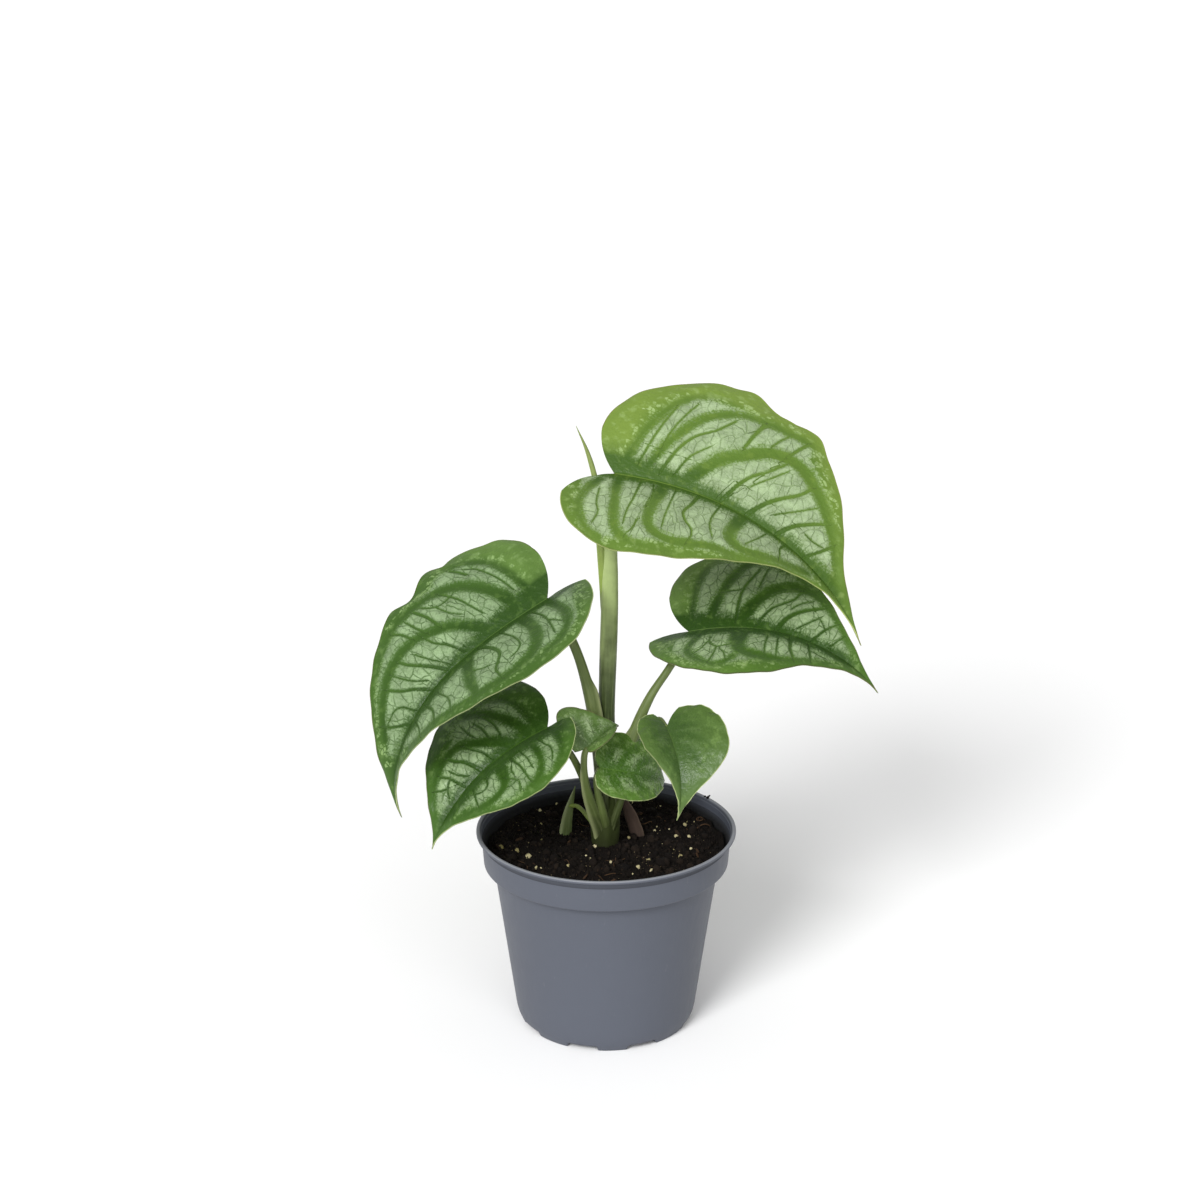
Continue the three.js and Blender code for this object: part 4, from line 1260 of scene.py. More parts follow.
                (0.4, 0.35, 240, 220, 235, 380, 250, 500, 270, 600),
                (0.35, 0.3, 300, 280, 300, 420, 312, 550),
                (0.3, 0.3, 360, 400, 370, 500, 375, 620),
                (0.5, 0.4, 360, 40, 380, 180, 410, 280, 430, 380),
                (1.3, 0.8, 450, 20, 470, 150, 490, 250, 520, 330, 540, 420),
                (0.25, 0.2, 530, 100, 560, 180, 580, 300),
                (0.6, 0.5, 585, 40, 600, 180, 612, 260, 635, 340),
                (0.4, 0.35, 610, 230, 655, 180, 690, 100),
                (0.4, 0.35, 655, 180, 685, 220, 710, 280),
            ),
            faint=((0.12, 0.4, 0.05, 0.3, 1.9), (0.2, 0.18, 0.05, 0.1, 2.2), (0.4, 0.58, 0.08, 0.12, 1.6)),
        ),
    ),
    Leaf(
        "leaf_curled", joint=(-8.1, -25, 145.3), turn=(29, 36, 50), droop=76, droop_power=1.3, sweep=-13,
        lobe_lift=1, length=24, rounding=(0.44, 0.5, 0.32, 0.5), tip_width=0.5, wave=0.2, quilt=0.3,
        grid=Grid.SMALL, bow=0.1,
        left=Half(
            21, 0.08, 0.25, 0.10, 11, 14, rib_band=(1.2, 1.0, 0.8, 0.6),
            reach=path(-160, 200, -150, 550, 0, 780, 150, 780, 350, 600, 550, 400, 700, 150),
            bands=veins(
                (0.7, 0.5, -20, 0, -50, 300, -40, 550, 20, 800),
                (0.8, 0.5, 100, 0, 120, 300, 180, 550, 280, 720),
                (0.6, 0.4, 300, 0, 360, 220, 460, 420),
            ),
            faint=((0.1, 0.4, 0.5, 0.5, 1.6),),
        ),
        right=Half(
            8, 0.24, 0.08, 0.14, 60, 20, rib_band=(1.0, 0.8, 0.6, 0.5),
            reach=path(0, 200, 100, 600, 400, 600, 650, 200),
            bands=veins(
                (0.6, 0.4, 200, 0, 260, 450, 400, 800),
            ),
            faint=((0.2, 0.4, 0.5, 0.5, 2.5),),
        ),
    ),
    Leaf(
        "leaf_centre", joint=(-2.7, -18, 132.1), turn=(11, -14, 54), droop=56, droop_power=1.4, sweep=11,
        lobe_lift=0, length=41, rounding=(0.6, 0.57, 0.64, 0.19), tip_width=0.5, wave=0.3, quilt=0.45,
        grid=Grid.SMALL, bow=0.15,
        left=Half(
            18, 0.26, 0.08, 0.11, 15, 22, rib_band=(2.4, 1.8, 1.4, 1.4), lit_edge=1.0,
            reach=path(50, 150, 80, 550, 200, 680, 400, 620, 600, 500, 720, 200),
            bands=veins(
                (0.9, 0.8, 50, 0, 80, 350, 140, 650, 250, 820),
                (1.3, 1.0, 200, 0, 270, 350, 360, 600, 480, 720),
                (1.1, 0.8, 420, 0, 500, 280, 620, 450),
            ),
            faint=((0.3, 0.4, 0.5, 0.5, 2.6),),
        ),
        right=Half(
            14, 0.31, 0.06, 0.1, 16, 13, rib_band=(2.6, 2.0, 1.6, 1.4), lit_edge=1.0,
            reach=path(20, 150, 50, 600, 200, 750, 400, 720, 600, 550, 720, 200),
            bands=veins(
                (1.1, 0.9, 140, 0, 160, 350, 220, 650, 320, 850),
                (1.3, 1.0, 380, 0, 430, 350, 540, 600),
            ),
            faint=((0.3, 0.4, 0.4, 0.5, 1.8),),
        ),
    ),
    Leaf(
        "leaf_heart", joint=(27.5, -14, 149.8), turn=(-73, -19, -4), droop=101, droop_power=1.5, sweep=-2,
        lobe_lift=0, length=48.5, rounding=(0.43, 0.48, 0.39, 0.58), tip_width=1, wave=0.4, quilt=0.5,
        grid=Grid.SMALL, bow=0.15,
        left=Half(
            25, 0.28, 0.19, 0.18, 26, -1, rib_band=(2.2, 1.6, 1.4, 1.4), lit_edge=1.0,
            reach=path(-30, 100, 0, 500, 100, 680, 250, 660, 400, 500, 500, 300, 560, 100),
            bands=veins(
                (1.0, 0.9, 20, 0, 50, 300, 100, 550, 200, 750),
                (1.4, 1.0, 100, 0, 170, 300, 250, 520, 360, 660),
                (1.3, 1.0, 250, 0, 340, 250, 460, 400),
            ),
            faint=((0.2, 0.4, 0.4, 0.5, 3.4),),
        ),
        right=Half(
            16, 0.12, 0.17, 0.1, 22, 37, rib_band=(2.0, 1.6, 1.4, 1.4), lit_edge=1.0,
            reach=path(-20, 100, 0, 500, 150, 700, 300, 600, 420, 200),
            bands=veins(
                (0.9, 0.8, 80, 0, 100, 350, 170, 700),
                (1.1, 0.8, 250, 0, 300, 350, 400, 600),
            ),
            faint=((0.2, 0.4, 0.4, 0.5, 3.4),),
        ),
    ),
)


# Stalks

@dataclass(frozen=True)
class Stalk:
    """A stalk: its course, its radii at even steps of length, and its sheath's ridge.

    flat squeezes the section across its reference direction. wing is how far the ridge stands out as a
    share of the radius, wing_from and wing_to the shares of length it spans, and wing_side its angle.
    """

    name: str
    node: str
    slot: str
    finish: str
    course: tuple[Place, ...]
    radii: tuple[float, ...]
    flat: float = 1.0
    wing: float = 0.0
    wing_from: float = -0.02
    wing_to: float = 0.5
    wing_side: float = np.pi
    groove: float = 0.1
    reference: Place = (0.0, 1.0, 0.0)
    sides: int = 28
    step: float = 1.6

    def shell(self) -> Shell:
        """Closed tube along the course.

        The section's radius is the stalk's radius, less a groove on top and plus the ridge, both bell
        curves of the angle. Its two directions are the cross products of the tangent and a reference.

        Returns:
            The tube, with values along, wing and way for the finish.
        """
        rough_length = run_of(np.array(self.course))[-1]
        count = max(12, int(rough_length / self.step))
        line = curve(self.course, count)
        tangent = np.gradient(line, axis=0)
        tangent /= np.linalg.norm(tangent, axis=1, keepdims=True)
        side = np.cross(self.reference, tangent)
        side /= np.linalg.norm(side, axis=1, keepdims=True)
        back = np.cross(tangent, side)
        share = np.linspace(0, 1, count)
        radius = np.interp(share, np.linspace(0, 1, len(self.radii)), self.radii)
        angle = circle(self.sides)

        def bell(centre: float, spread: float) -> np.ndarray:
            """Bell curve of the angle about a centre."""
            off = (angle - centre + np.pi) % (2 * np.pi) - np.pi
            return np.exp(-(off / spread) ** 2)

        wing_here = smooth(self.wing_to, self.wing_to - 0.06, share)
        wing_here = wing_here * smooth(self.wing_from, self.wing_from + 0.07, share)
        ridge = np.outer(wing_here, bell(self.wing_side, 0.42))
        wobble = 0.03 * np.sin(share * 21 + 1.3)[:, None] * np.cos(angle * 2 + 0.5)
        size = radius[:, None] * (1 + self.wing * ridge - self.groove * bell(np.pi / 2, 0.5) + wobble)
        rings = (line[:, None] + side[:, None] * (size * np.cos(angle))[..., None]
                 + back[:, None] * (self.flat * size * np.sin(angle))[..., None])
        values = {
            "along": np.repeat(share[:, None], self.sides, 1),
            "wing": np.clip(1.4 * ridge, 0, 1) if self.wing else 0 * ridge,
            "way": turned(size, share[:, None] * rough_length, angle) * MM,
        }
        ends = (line[0] - tangent[0] * radius[0] * 0.3, line[-1] + tangent[-1] * radius[-1] * 0.5)
        return capped(rings, ends[0], ends[1], values)

    def build(self, materials: Materials) -> None:
        """Makes the stalk's piece in the place of its node."""
        self.shell().piece(self.name, materials[self.finish], self.slot, (self.node,))


STALKS = (
    Stalk(
        "top_petiole", "petiole_top", "petiole", "petiole_top",
        ((0.2, -4, 86), (0.4, -3.4, 98), (0.4, -2.6, 122), (0.2, -2.4, 152), (0.7, -1.6, 172),
         (1.6, -0.2, 203), (1.7, 1.2, 230), (2.2, 3, 252), (3.6, 3.8, 263.2)),
        (4.4, 4.5, 4.1, 3.8, 4.0, 3.8, 3.8, 3.0, 2.3), wing=0.14, wing_from=0.5, wing_to=0.92,
        wing_side=3.8,
    ),
    Stalk(
        "left_petiole", "petiole_left", "petiole", "petiole",
        ((-0.7, -5.6, 86), (-0.8, -7.0, 99), (-1.4, -8.8, 116), (-3.4, -9, 136), (-5.9, -8, 155.5),
         (-9, -6.9, 170), (-13.5, -6, 184.5), (-21.2, -5.6, 201), (-26, -6, 208)),
        (3.2, 3.4, 3.1, 2.9, 2.9, 2.7, 2.3, 2.1, 1.9), wing=0.5, wing_from=0.34, wing_to=0.68,
        wing_side=0.1,
    ),
    Stalk(
        "right_petiole", "petiole_right", "petiole", "petiole",
        ((1.2, -4.8, 86), (2.6, -5, 99), (5.4, -5, 112), (9.4, -4.4, 131), (14.5, -2.4, 147.5),
         (20.6, 0.2, 160.5), (28, 4.8, 170.5), (34.6, 9.5, 180), (37.6, 11.6, 185.6)),
        (3.0, 3.2, 2.9, 2.8, 2.9, 2.3, 1.9, 1.7, 1.6), wing=0.5, wing_from=0.21, wing_to=0.56,
        wing_side=3.3,
    ),
    Stalk(
        "heart_petiole", "petiole_heart", "petiole", "petiole",
        ((1.2, -5.6, 86), (2.4, -7.3, 97), (5.4, -9.6, 108), (10, -8.9, 122), (13.1, -5.9, 130.5),
         (15.7, -1.4, 138.2), (18.4, 0.4, 144.4), (24, -3.6, 150), (27.3, -13, 149.8)),
        (2.4, 2.4, 2.0, 1.7, 1.5, 1.4, 1.4, 1.3, 1.3), reference=(1.0, 0.0, 0.3),
    ),
    Stalk(
        "centre_petiole", "petiole_centre", "petiole", "petiole",
        ((0, -5.6, 86), (-0.1, -7.4, 96), (-1.4, -11.6, 106), (-3.6, -15.4, 118), (-4.2, -17.4, 127.5),
         (-3, -17.9, 131.4)),
        (2.9, 2.8, 2.3, 1.7, 1.4),
    ),
    Stalk(
        "curled_petiole", "petiole_curled", "petiole", "petiole",
        ((-1, -5.6, 86), (-2, -7.2, 96), (-5.2, -13, 108), (-8.6, -19.6, 122), (-10, -23.6, 136),
         (-9.4, -25.2, 143), (-8.4, -25.1, 144.8)),
        (3.0, 3.1, 2.8, 2.3, 1.8, 1.5, 1.4), wing=0.4, wing_to=0.84, wing_side=3.6,
    ),
    Stalk(
        "low_left_petiole", "petiole_low_left", "petiole", "petiole",
        ((-1.4, -5.0, 86), (-3, -5.2, 96), (-6, -7.4, 108), (-9.8, -12.4, 123), (-15, -18.4, 137.4),
         (-21.6, -22.6, 149), (-25.8, -23.9, 153.3)),
        (2.6, 2.7, 2.2, 1.8, 1.6, 1.5, 1.4),
    ),
    Stalk(
        "rolled_leaf", "new_leaf_spear", "shoot", "spear",
        ((-1.2, -0.6, 200), (-1.6, -0.8, 216), (-2.5, -0.6, 234), (-4.2, 4.6, 258), (-7.8, 7.4, 272),
         (-13.4, 9, 285)),
        (1.0, 1.5, 1.7, 1.5, 1.1, 0.12), wing=0.15, wing_to=0.9, groove=0.16,
    ),
    Stalk(
        "scale_leaf", "side_shoot", "shoot", "scale",
        ((-19, 13, 78.5), (-18.6, 12.8, 88), (-17.2, 12, 98), (-14.2, 11, 111)),
        (2.5, 2.7, 2.3, 1.3, 0.15), flat=0.6, wing=0.25, wing_to=0.95, wing_side=3.6, groove=0.2,
    ),
    Stalk(
        "runner", "side_shoot", "shoot", "spear",
        ((-17, 11.8, 100.6), (-13.4, 9, 101.6), (-9.6, 4.4, 99.8), (-4.8, -1.6, 96)),
        (0.9, 1.0, 1.1, 1.3),
    ),
    Stalk(
        "old_sheath", "dry_sheath", "dry_sheath", "dry",
        ((16, 8.6, 78.5), (14.6, 8, 87), (12, 6.4, 96), (7.6, 2.8, 109)),
        (2.5, 2.9, 2.6, 1.0), flat=0.45, wing=0.2, wing_to=0.95, wing_side=0.2, groove=0.25,
    ),
)


@dataclass(frozen=True)
class StemBase:
    """The short stem in the soil that all petioles rise from, fluted by their clasping feet."""

    shape: tuple[Point, ...] = (
        (76.0, 5.9), (88.0, 6.1), (97.0, 6.6), (104.0, 6.5), (110.0, 5.6), (115.0, 4.3), (118.5, 2.4),
    )
    scar_height: float = 88.5
    scar_width: float = 0.5
    scar_depth: float = 0.04
    lobes: int = 5
    sides: int = 60

    def build(self, materials: Materials) -> None:
        """Makes the stem: a turned profile with one faint scar, and lobes that grow towards its top."""
        z, radius = curve(self.shape, 60).T[..., None]
        radius = radius * (1 - self.scar_depth * np.exp(-((z - self.scar_height) / self.scar_width) ** 2))
        share = (z - z[0]) / (z[-1] - z[0])
        angle = circle(self.sides)
        ripple = 1 + (0.02 + 0.1 * share ** 1.5) * np.sin(self.lobes * angle + 0.03 * z)
        rings = turned(radius * ripple, z, angle)
        values = {"along": share + 0 * ripple, "wing": 0 * ripple, "way": rings * MM}
        foot = np.array([*STEM_PLACE, 0.0])
        ends = (foot + (0, 0, z[0, 0]), foot + (0, 0, z[-1, 0] + 0.4))
        capped(rings + foot, *ends, values).piece("stem_foot", materials["stem"], "stem", ("stem_base",))


# Pot and soil

@dataclass(frozen=True)
class Pot:
    """A moulded nursery pot: tapered wall, stepped band, rolled lip, and a foot ring with notches.

    drain_span holds the heights between which the drain holes are cut. warps lists waves of the wall round
    the pot: how many, how far out they reach at the rim, and phase.
    """

    rim_radius: float = 60.0
    height: float = 95.0
    lip_drop: float = 1.6
    lip_width: float = 1.7
    band_top: float = 57.6
    band_bottom: float = 56.6
    band_low: float = 78.7
    body_top: float = 52.2
    body_bottom: float = 41.9
    body_low: float = 5.0
    floor_radius: float = 39.3
    foot_radius: float = 39.6
    foot_inner: float = 33.0
    foot_height: float = 2.4
    foot_draft: float = 0.7
    pad_radius: float = 9.0
    wall: float = 1.2
    sides: int = 336
    notch_angles: tuple[float, ...] = (-16, 25, 74, 119, 164, 205, 254, 299)
    notch_width: float = 13.0
    drain_radius: float = 4.0
    drain_ring: float = 25.0
    drain_count: int = 8
    drain_span: tuple[float, float] = (1.0, 5.5)
    warps: tuple[Place, ...] = ((2, 0.22, 0.6), (3, 0.12, 2.0))

    def profile(self) -> np.ndarray:
        """Corners of the section from the underside's middle, up the outside, over the lip and down inside.

        Returns:
            Rows of radius, height and the rounding of the corner, in millimetres.
        """
        floor = self.foot_height + self.wall
        lip = self.height - self.lip_drop
        return np.array([
            (self.pad_radius, 0, 0.15), (self.pad_radius + self.foot_draft, self.foot_height, 0.5),
            (self.foot_inner - self.foot_draft, self.foot_height, 0.5), (self.foot_inner, 0, 0.3),
            (self.foot_radius, 0, 0.6), (self.body_bottom, self.body_low, 3.0),
            (self.body_top, self.band_low, 0.7), (self.band_bottom, self.band_low, 0.9),
            (self.band_top, lip, 0.5), (self.rim_radius, lip, 0.7),
            (self.rim_radius, self.height, 0.8), (self.rim_radius - self.lip_width, self.height, 0.8),
            (self.band_bottom - self.wall, self.band_low + self.wall, 0.6),
            (self.body_top - self.wall, self.band_low + self.wall, 0.8),
            (self.body_bottom - self.wall, floor + self.wall, 1.5), (self.floor_radius - 2, floor, 0.8),
            (6.0, floor, 0.5),
        ])

    def rounded(self) -> np.ndarray:
        """Section with each corner turned into a parabola between points one rounding away on either side.

        Long straight runs get extra points.
        """
        rows = self.profile()
        corners, round_by = rows[:, :2], rows[:, 2]
        parts = []
        t = np.linspace(0, 1, 5)[:, None]
        for k, corner in enumerate(corners):
            before = corners[k - 1] if k else np.array([0.0, corner[1]])
            after = corners[k + 1] if k + 1 < len(corners) else np.array([0.0, corner[1]])
            back, ahead = before - corner, after - corner
            a = corner + back * min(0.45, round_by[k] / np.linalg.norm(back))
            b = corner + ahead * min(0.45, round_by[k] / np.linalg.norm(ahead))
            parts.append((1 - t) ** 2 * a + 2 * t * (1 - t) * corner + t * t * b)
        line = np.vstack(parts)
        steps = np.maximum(1, (np.linalg.norm(np.diff(line, axis=0), axis=1) / 5).astype(int))
        filled = [np.linspace(a, b, n, endpoint=False) for a, b, n in zip(line[:-1], line[1:], steps)]
        return np.vstack([*filled, line[-1:]])

    def build(self, materials: Materials) -> None:
        """Turns the section round the axis, lifts the foot ring in its notches and cuts the drain holes."""
        section = self.rounded()
        angle = circle(self.sides)
        radius, height = (np.repeat(column[:, None], self.sides, 1) for column in section.T)
        half = np.degrees(self.notch_width / (self.foot_inner + self.foot_radius))
        off = (np.degrees(angle)[:, None] - 270 - np.array(self.notch_angles) + 180) % 360 - 180
        notch = smooth(half + 0.7, half - 0.7, np.abs(off).min(1))
        in_foot = smooth(self.foot_inner - 0.8, self.foot_inner - 0.5, radius) * (height < self.foot_height)
        height = height + in_foot * notch * (self.foot_height - height)
        warp = sum(reach * np.sin(count * angle + phase) for count, reach, phase in self.warps)
        radius = radius + warp * smooth(40, self.height, height) * (radius > 40)
        outer = np.arange(len(section)) < np.argmax(section[:, 1] >= self.height - 1e-6) + 6
        # inside: the inner wall below the rim, painted nearly black as shade with soil dirt; lip: the lip's
        # top, painted with a highlight
        inside = np.where(outer, 0.0, 1.0)[:, None] * smooth(94.8, 92.8, height)
        lip = smooth(94.3, 94.9, height) * np.repeat(outer[:, None], self.sides, 1)
        poles = (np.zeros(3), np.array([0, 0, self.foot_height + self.wall]))
        shell = capped(turned(radius, height, angle), *poles, {"inside": inside, "lip": lip})
        self.drill(shell.piece("nursery_pot", materials["pot"], "pot_plastic", ("pot",)))

    def drill(self, pot: bpy.types.Object) -> None:
        """Cuts the ring of drain holes through the pot's floor with one mesh of round pins."""
        span = np.array(self.drain_span)[:, None]
        pins = []
        for turn in circle(self.drain_count) + np.pi / self.drain_count:
            centre = turned(self.drain_ring, 0.0, turn)
            rings = centre + turned(self.drain_radius, span, circle(24))
            low, high = (centre + (0, 0, z) for z in self.drain_span)
            pins.append(capped(rings, low, high, {}))
        cutter = in_scene("pins", joined(pins).mesh("pins"))
        cut = pot.modifiers.new("drain", "BOOLEAN")
        cut.operation, cut.object, cut.solver = "DIFFERENCE", cutter, "EXACT"
        done = bpy.data.meshes.new_from_object(pot.evaluated_get(bpy.context.evaluated_depsgraph_get()))
        pot.modifiers.clear()
        pot.data = done
        bpy.data.objects.remove(cutter)


def soil_height(x: np.ndarray, y: np.ndarray) -> np.ndarray:
    """Height of the soil's surface: a level with a slope, and low lumps summed from three waves."""
    lumps = (np.sin(0.31 * x + 1.3) * np.cos(0.27 * y + 0.4) + 0.6 * np.sin(0.17 * x - 0.38 * y + 2.1)
             + 0.4 * np.cos(0.53 * x + 0.45 * y))
    return SOIL_LEVEL + 0.022 * x + 0.012 * y + 0.55 * lumps


def crumb_form(fine: bool) -> tuple[np.ndarray, np.ndarray]:
    """Points and triangles of a small lump: a ball of 12 or 42 points.

    Args:
        fine: True for the ball of 42 points.

    Returns:
        Points on the unit ball and triangles.
    """
    gold = (1 + 5 ** 0.5) / 2
    base = np.array([
        (-1, gold, 0), (1, gold, 0), (-1, -gold, 0), (1, -gold, 0), (0, -1, gold), (0, 1, gold),
        (0, -1, -gold), (0, 1, -gold), (gold, 0, -1), (gold, 0, 1), (-gold, 0, -1), (-gold, 0, 1),
    ])
    faces = np.array([
        (0, 11, 5), (0, 5, 1), (0, 1, 7), (0, 7, 10), (0, 10, 11), (1, 5, 9), (5, 11, 4), (11, 10, 2),
        (10, 7, 6), (7, 1, 8), (3, 9, 4), (3, 4, 2), (3, 2, 6), (3, 6, 8), (3, 8, 9), (4, 9, 5),
        (2, 4, 11), (6, 2, 10), (8, 6, 7), (9, 8, 1),
    ])
    if fine:
        edges = np.sort(np.vstack([faces[:, [0, 1]], faces[:, [1, 2]], faces[:, [2, 0]]]), axis=1)
        unique, where = np.unique(edges, axis=0, return_inverse=True)
        middles = (base[unique[:, 0]] + base[unique[:, 1]]) / 2
        ab, bc, ca = (len(base) + part for part in np.split(where.ravel(), 3))
        base = np.vstack([base, middles])
        a, b, c = faces.T
        faces = np.vstack([np.stack(f, -1) for f in ((a, ab, ca), (b, bc, ab), (c, ca, bc), (ab, bc, ca))])
    return base / np.linalg.norm(base, axis=1, keepdims=True), faces


def scatter(places: np.ndarray, sizes: np.ndarray, seed: int, fine: bool, rough: float = 0.25) -> Shell:
    """Lumps at places: each is the ball scaled by its sizes, with uneven points, turned at random.

    Args:
        places: centres, of shape (n, 3).
        sizes: half sizes along the lump's own axes, of shape (n, 3).
        seed: number that picks the turns and the unevenness.
        fine: True for lumps of 80 faces, False for 20.
        rough: how uneven the points are, as a share of the size.

    Returns:
        One shell of separate closed lumps, with a random tone for each.
    """
    rng = np.random.default_rng(seed)
    ball, faces = crumb_form(fine)
    n, m = len(places), len(ball)
    uneven = 1 + rng.uniform(-rough, rough, (n, m, 1))
    local = ball * uneven * sizes[:, None]
    turn, _ = np.linalg.qr(rng.normal(size=(n, 3, 3)))
    turn[:, :, 0] *= np.linalg.det(turn)[:, None]
    points = np.einsum("nij,nmj->nmi", turn, local) + places[:, None]
    triangles = (faces + (np.arange(n) * m)[:, None, None]).reshape(-1, 3)
    tone = np.repeat(rng.uniform(0, 1, n), m)
    return Shell(points.reshape(-1, 3), np.zeros((0, 4), int), triangles, {"tone": tone})


@dataclass(frozen=True)
class Lumps:
    """One kind of lump on the soil: its piece's name, its finish, how many and the number that picks places.

    sizes are the least and the greatest half size, and form the three half sizes as shares of the lump's
    size. sink is how far its centre lies above the soil, as a share of its size, and rough how uneven it is.
    """

    name: str
    finish: str
    count: int
    seed: int
    sizes: tuple[float, float]
    form: Place
    sink: float
    rough: float = 0.25


def off_stem(x: np.ndarray, y: np.ndarray) -> np.ndarray:
    """Distance from the stem's middle, seen from above."""
    return np.hypot(x - STEM_PLACE[0], y - STEM_PLACE[1])


@dataclass(frozen=True)
class SoilBed:
    """Dark potting soil with crumbs, bark chips, pale perlite grains and a stray root.

    The lump and fibre gaps are how far those stay from the stem's middle, and shoulder is the height of the
    pot's step inside. grains lists the pale grains that show in front by x, y and size, and spilt the bits
    on the pot's rim by place and size.
    """

    radius: float = 54.9
    floor: float = 3.9
    mound: float = 5.6
    mound_radius: float = 13.0
    lump_gap: float = 8.2
    fibre_gap: float = 9.0
    shoulder: float = 80.2
    rings: int = 130
    sides: int = 300
    kinds: tuple[Lumps, ...] = (
        Lumps("soil_crumbs", "crumb", 2600, 11, (0.35, 1.3), (1, 0.9, 0.75), 0.25),
        Lumps("soil_clods", "crumb", 200, 12, (1.1, 3.2), (1, 0.85, 0.7), 0.0, 0.2),
        Lumps("bark_chips", "chip", 80, 13, (0.7, 2.6), (1, 0.4, 0.22), 0.2, 0.15),
        Lumps("pale_specks", "speck", 420, 14, (0.16, 0.42), (1, 0.8, 0.7), 0.6, 0.2),
    )
    perlite_count: int = 26
    fibre_count: int = 16
    grains: tuple[Place, ...] = (
        (-48.7, -0.3, 2.0), (-41.1, -4.8, 1.5), (-35.7, -11.4, 2.7), (-32.0, -22.3, 1.3), (-29.8, -23.4, 1.2),
        (-17.0, -22.3, 2.1), (-5.2, -9.0, 1.3), (-6.9, -19.1, 1.5), (-31.4, 37.6, 1.4), (-23.5, 46.7, 1.2),
        (10.6, 1.9, 1.4), (19.3, -16.9, 1.7), (14.6, -25.0, 1.5), (34.2, -15.8, 1.8), (39.2, -7.0, 1.5),
        (37.3, 18.9, 1.3), (22.9, 13.2, 1.2), (32.8, 7.5, 1.5), (38.8, 6.4, 1.2), (20.4, -28.8, 1.5),
    )
    spilt: tuple[tuple[float, float, float, float], ...] = (
        (-12.0, 57.3, 95.5, 1.3), (-10.2, 57.6, 95.2, 0.8), (-12.9, 57.2, 96.6, 0.6), (48.4, 33.4, 95.4, 0.9),
        (47.2, 35.2, 95.2, 0.6), (49.2, 33.6, 96.2, 0.5),
    )

    def surface(self, x: np.ndarray, y: np.ndarray) -> np.ndarray:
        """Soil height with clods and grit: the smooth surface plus sharpened noise of three sizes."""
        clods = 1 - np.abs(waves(x, y, 14, 3, 3))
        grit = np.abs(waves(x, y, 3.4, 5, 3))
        sx, sy = STEM_PLACE
        mound = self.mound * np.exp(-((x - sx) ** 2 + (y - sy) ** 2) / self.mound_radius ** 2)
        return soil_height(x, y) + mound + 0.9 * (clods - 0.6) + 0.55 * grit + 0.35 * waves(x, y, 1.7, 8, 2)

    def ground(self, materials: Materials) -> None:
        """Makes the soil's body: a disc of rings with a rough top, closed by the pot's inner shape below."""
        share = np.sqrt(np.linspace(0.0004, 1, self.rings))[::-1]
        angle = circle(self.sides)
        top = turned(self.radius * share[:, None], 0.0, angle)
        top[..., 2] = self.surface(top[..., 0], top[..., 1])
        wall = np.array([(39.0, self.floor), (40.4, self.floor + 1.2), (50.7, self.shoulder),
                         (self.radius, self.shoulder)])
        low = turned(wall[:, :1], wall[:, 1:], angle)
        crown = np.array([0, 0, float(self.surface(np.zeros(1), np.zeros(1))[0])])
        shell = capped(np.concatenate([low, top]), np.array([0, 0, self.floor]), crown, {})
        shell.piece("soil_bed", materials["soil"], "soil", ("soil",))

    def spread(self, count: int, seed: int, reach: float) -> tuple[np.ndarray, np.ndarray]:
        """Random places on the disc, even by area and clear of the stem's foot."""
        rng = np.random.default_rng(seed)
        r = reach * np.sqrt(rng.uniform(0.0, 1, count))
        a = rng.uniform(0, 2 * np.pi, count)
        x, y = r * np.cos(a), r * np.sin(a)
        clear = off_stem(x, y) > self.lump_gap
        return x[clear], y[clear]

    def lumps(self, kind: Lumps, materials: Materials) -> None:
        """Scatters one kind of lump over the soil, with more small ones than large ones."""
        rng = np.random.default_rng(kind.seed + 100)
        least, most = kind.sizes
        x, y = self.spread(kind.count, kind.seed, self.radius - 1.2 - most)
        size = least + (most - least) * rng.uniform(0, 1, len(x)) ** 2.6
        places = np.stack([x, y, self.surface(x, y) + kind.sink * size], -1)
        fine = most > 1.6
        shell = scatter(places, size[:, None] * np.array(kind.form), kind.seed, fine, kind.rough)
        shell.piece(kind.name, materials[kind.finish], "soil", flat=not fine)

    def perlite(self, materials: Materials) -> None:
        """Places the pale grains that show in front, and small ones at random."""
        chosen = np.array(self.grains)
        x, y = self.spread(self.perlite_count, 77, self.radius - 2)
        rng = np.random.default_rng(78)
        size = np.r_[chosen[:, 2] * 0.68, 0.25 + 0.55 * rng.uniform(0, 1, len(x)) ** 2]
        x, y = np.r_[chosen[:, 0], x], np.r_[chosen[:, 1], y]
        places = np.stack([x, y, self.surface(x, y) + 0.35 * size], -1)
        shape = size[:, None] * rng.uniform(0.6, 1.2, (len(x), 3))
        scatter(places, shape, 79, True, 0.3).piece("perlite", materials["perlite"], "soil")

    def rim_bits(self, materials: Materials) -> None:
        """Places the few bits of soil that lie on the back of the pot's rim."""
        bits = np.array(self.spilt)
        size = bits[:, 3:] * (1.0, 0.8, 0.7)
        scatter(bits[:, :3], size, 81, True, 0.3).piece("rim_bits", materials["crumb"], "soil")

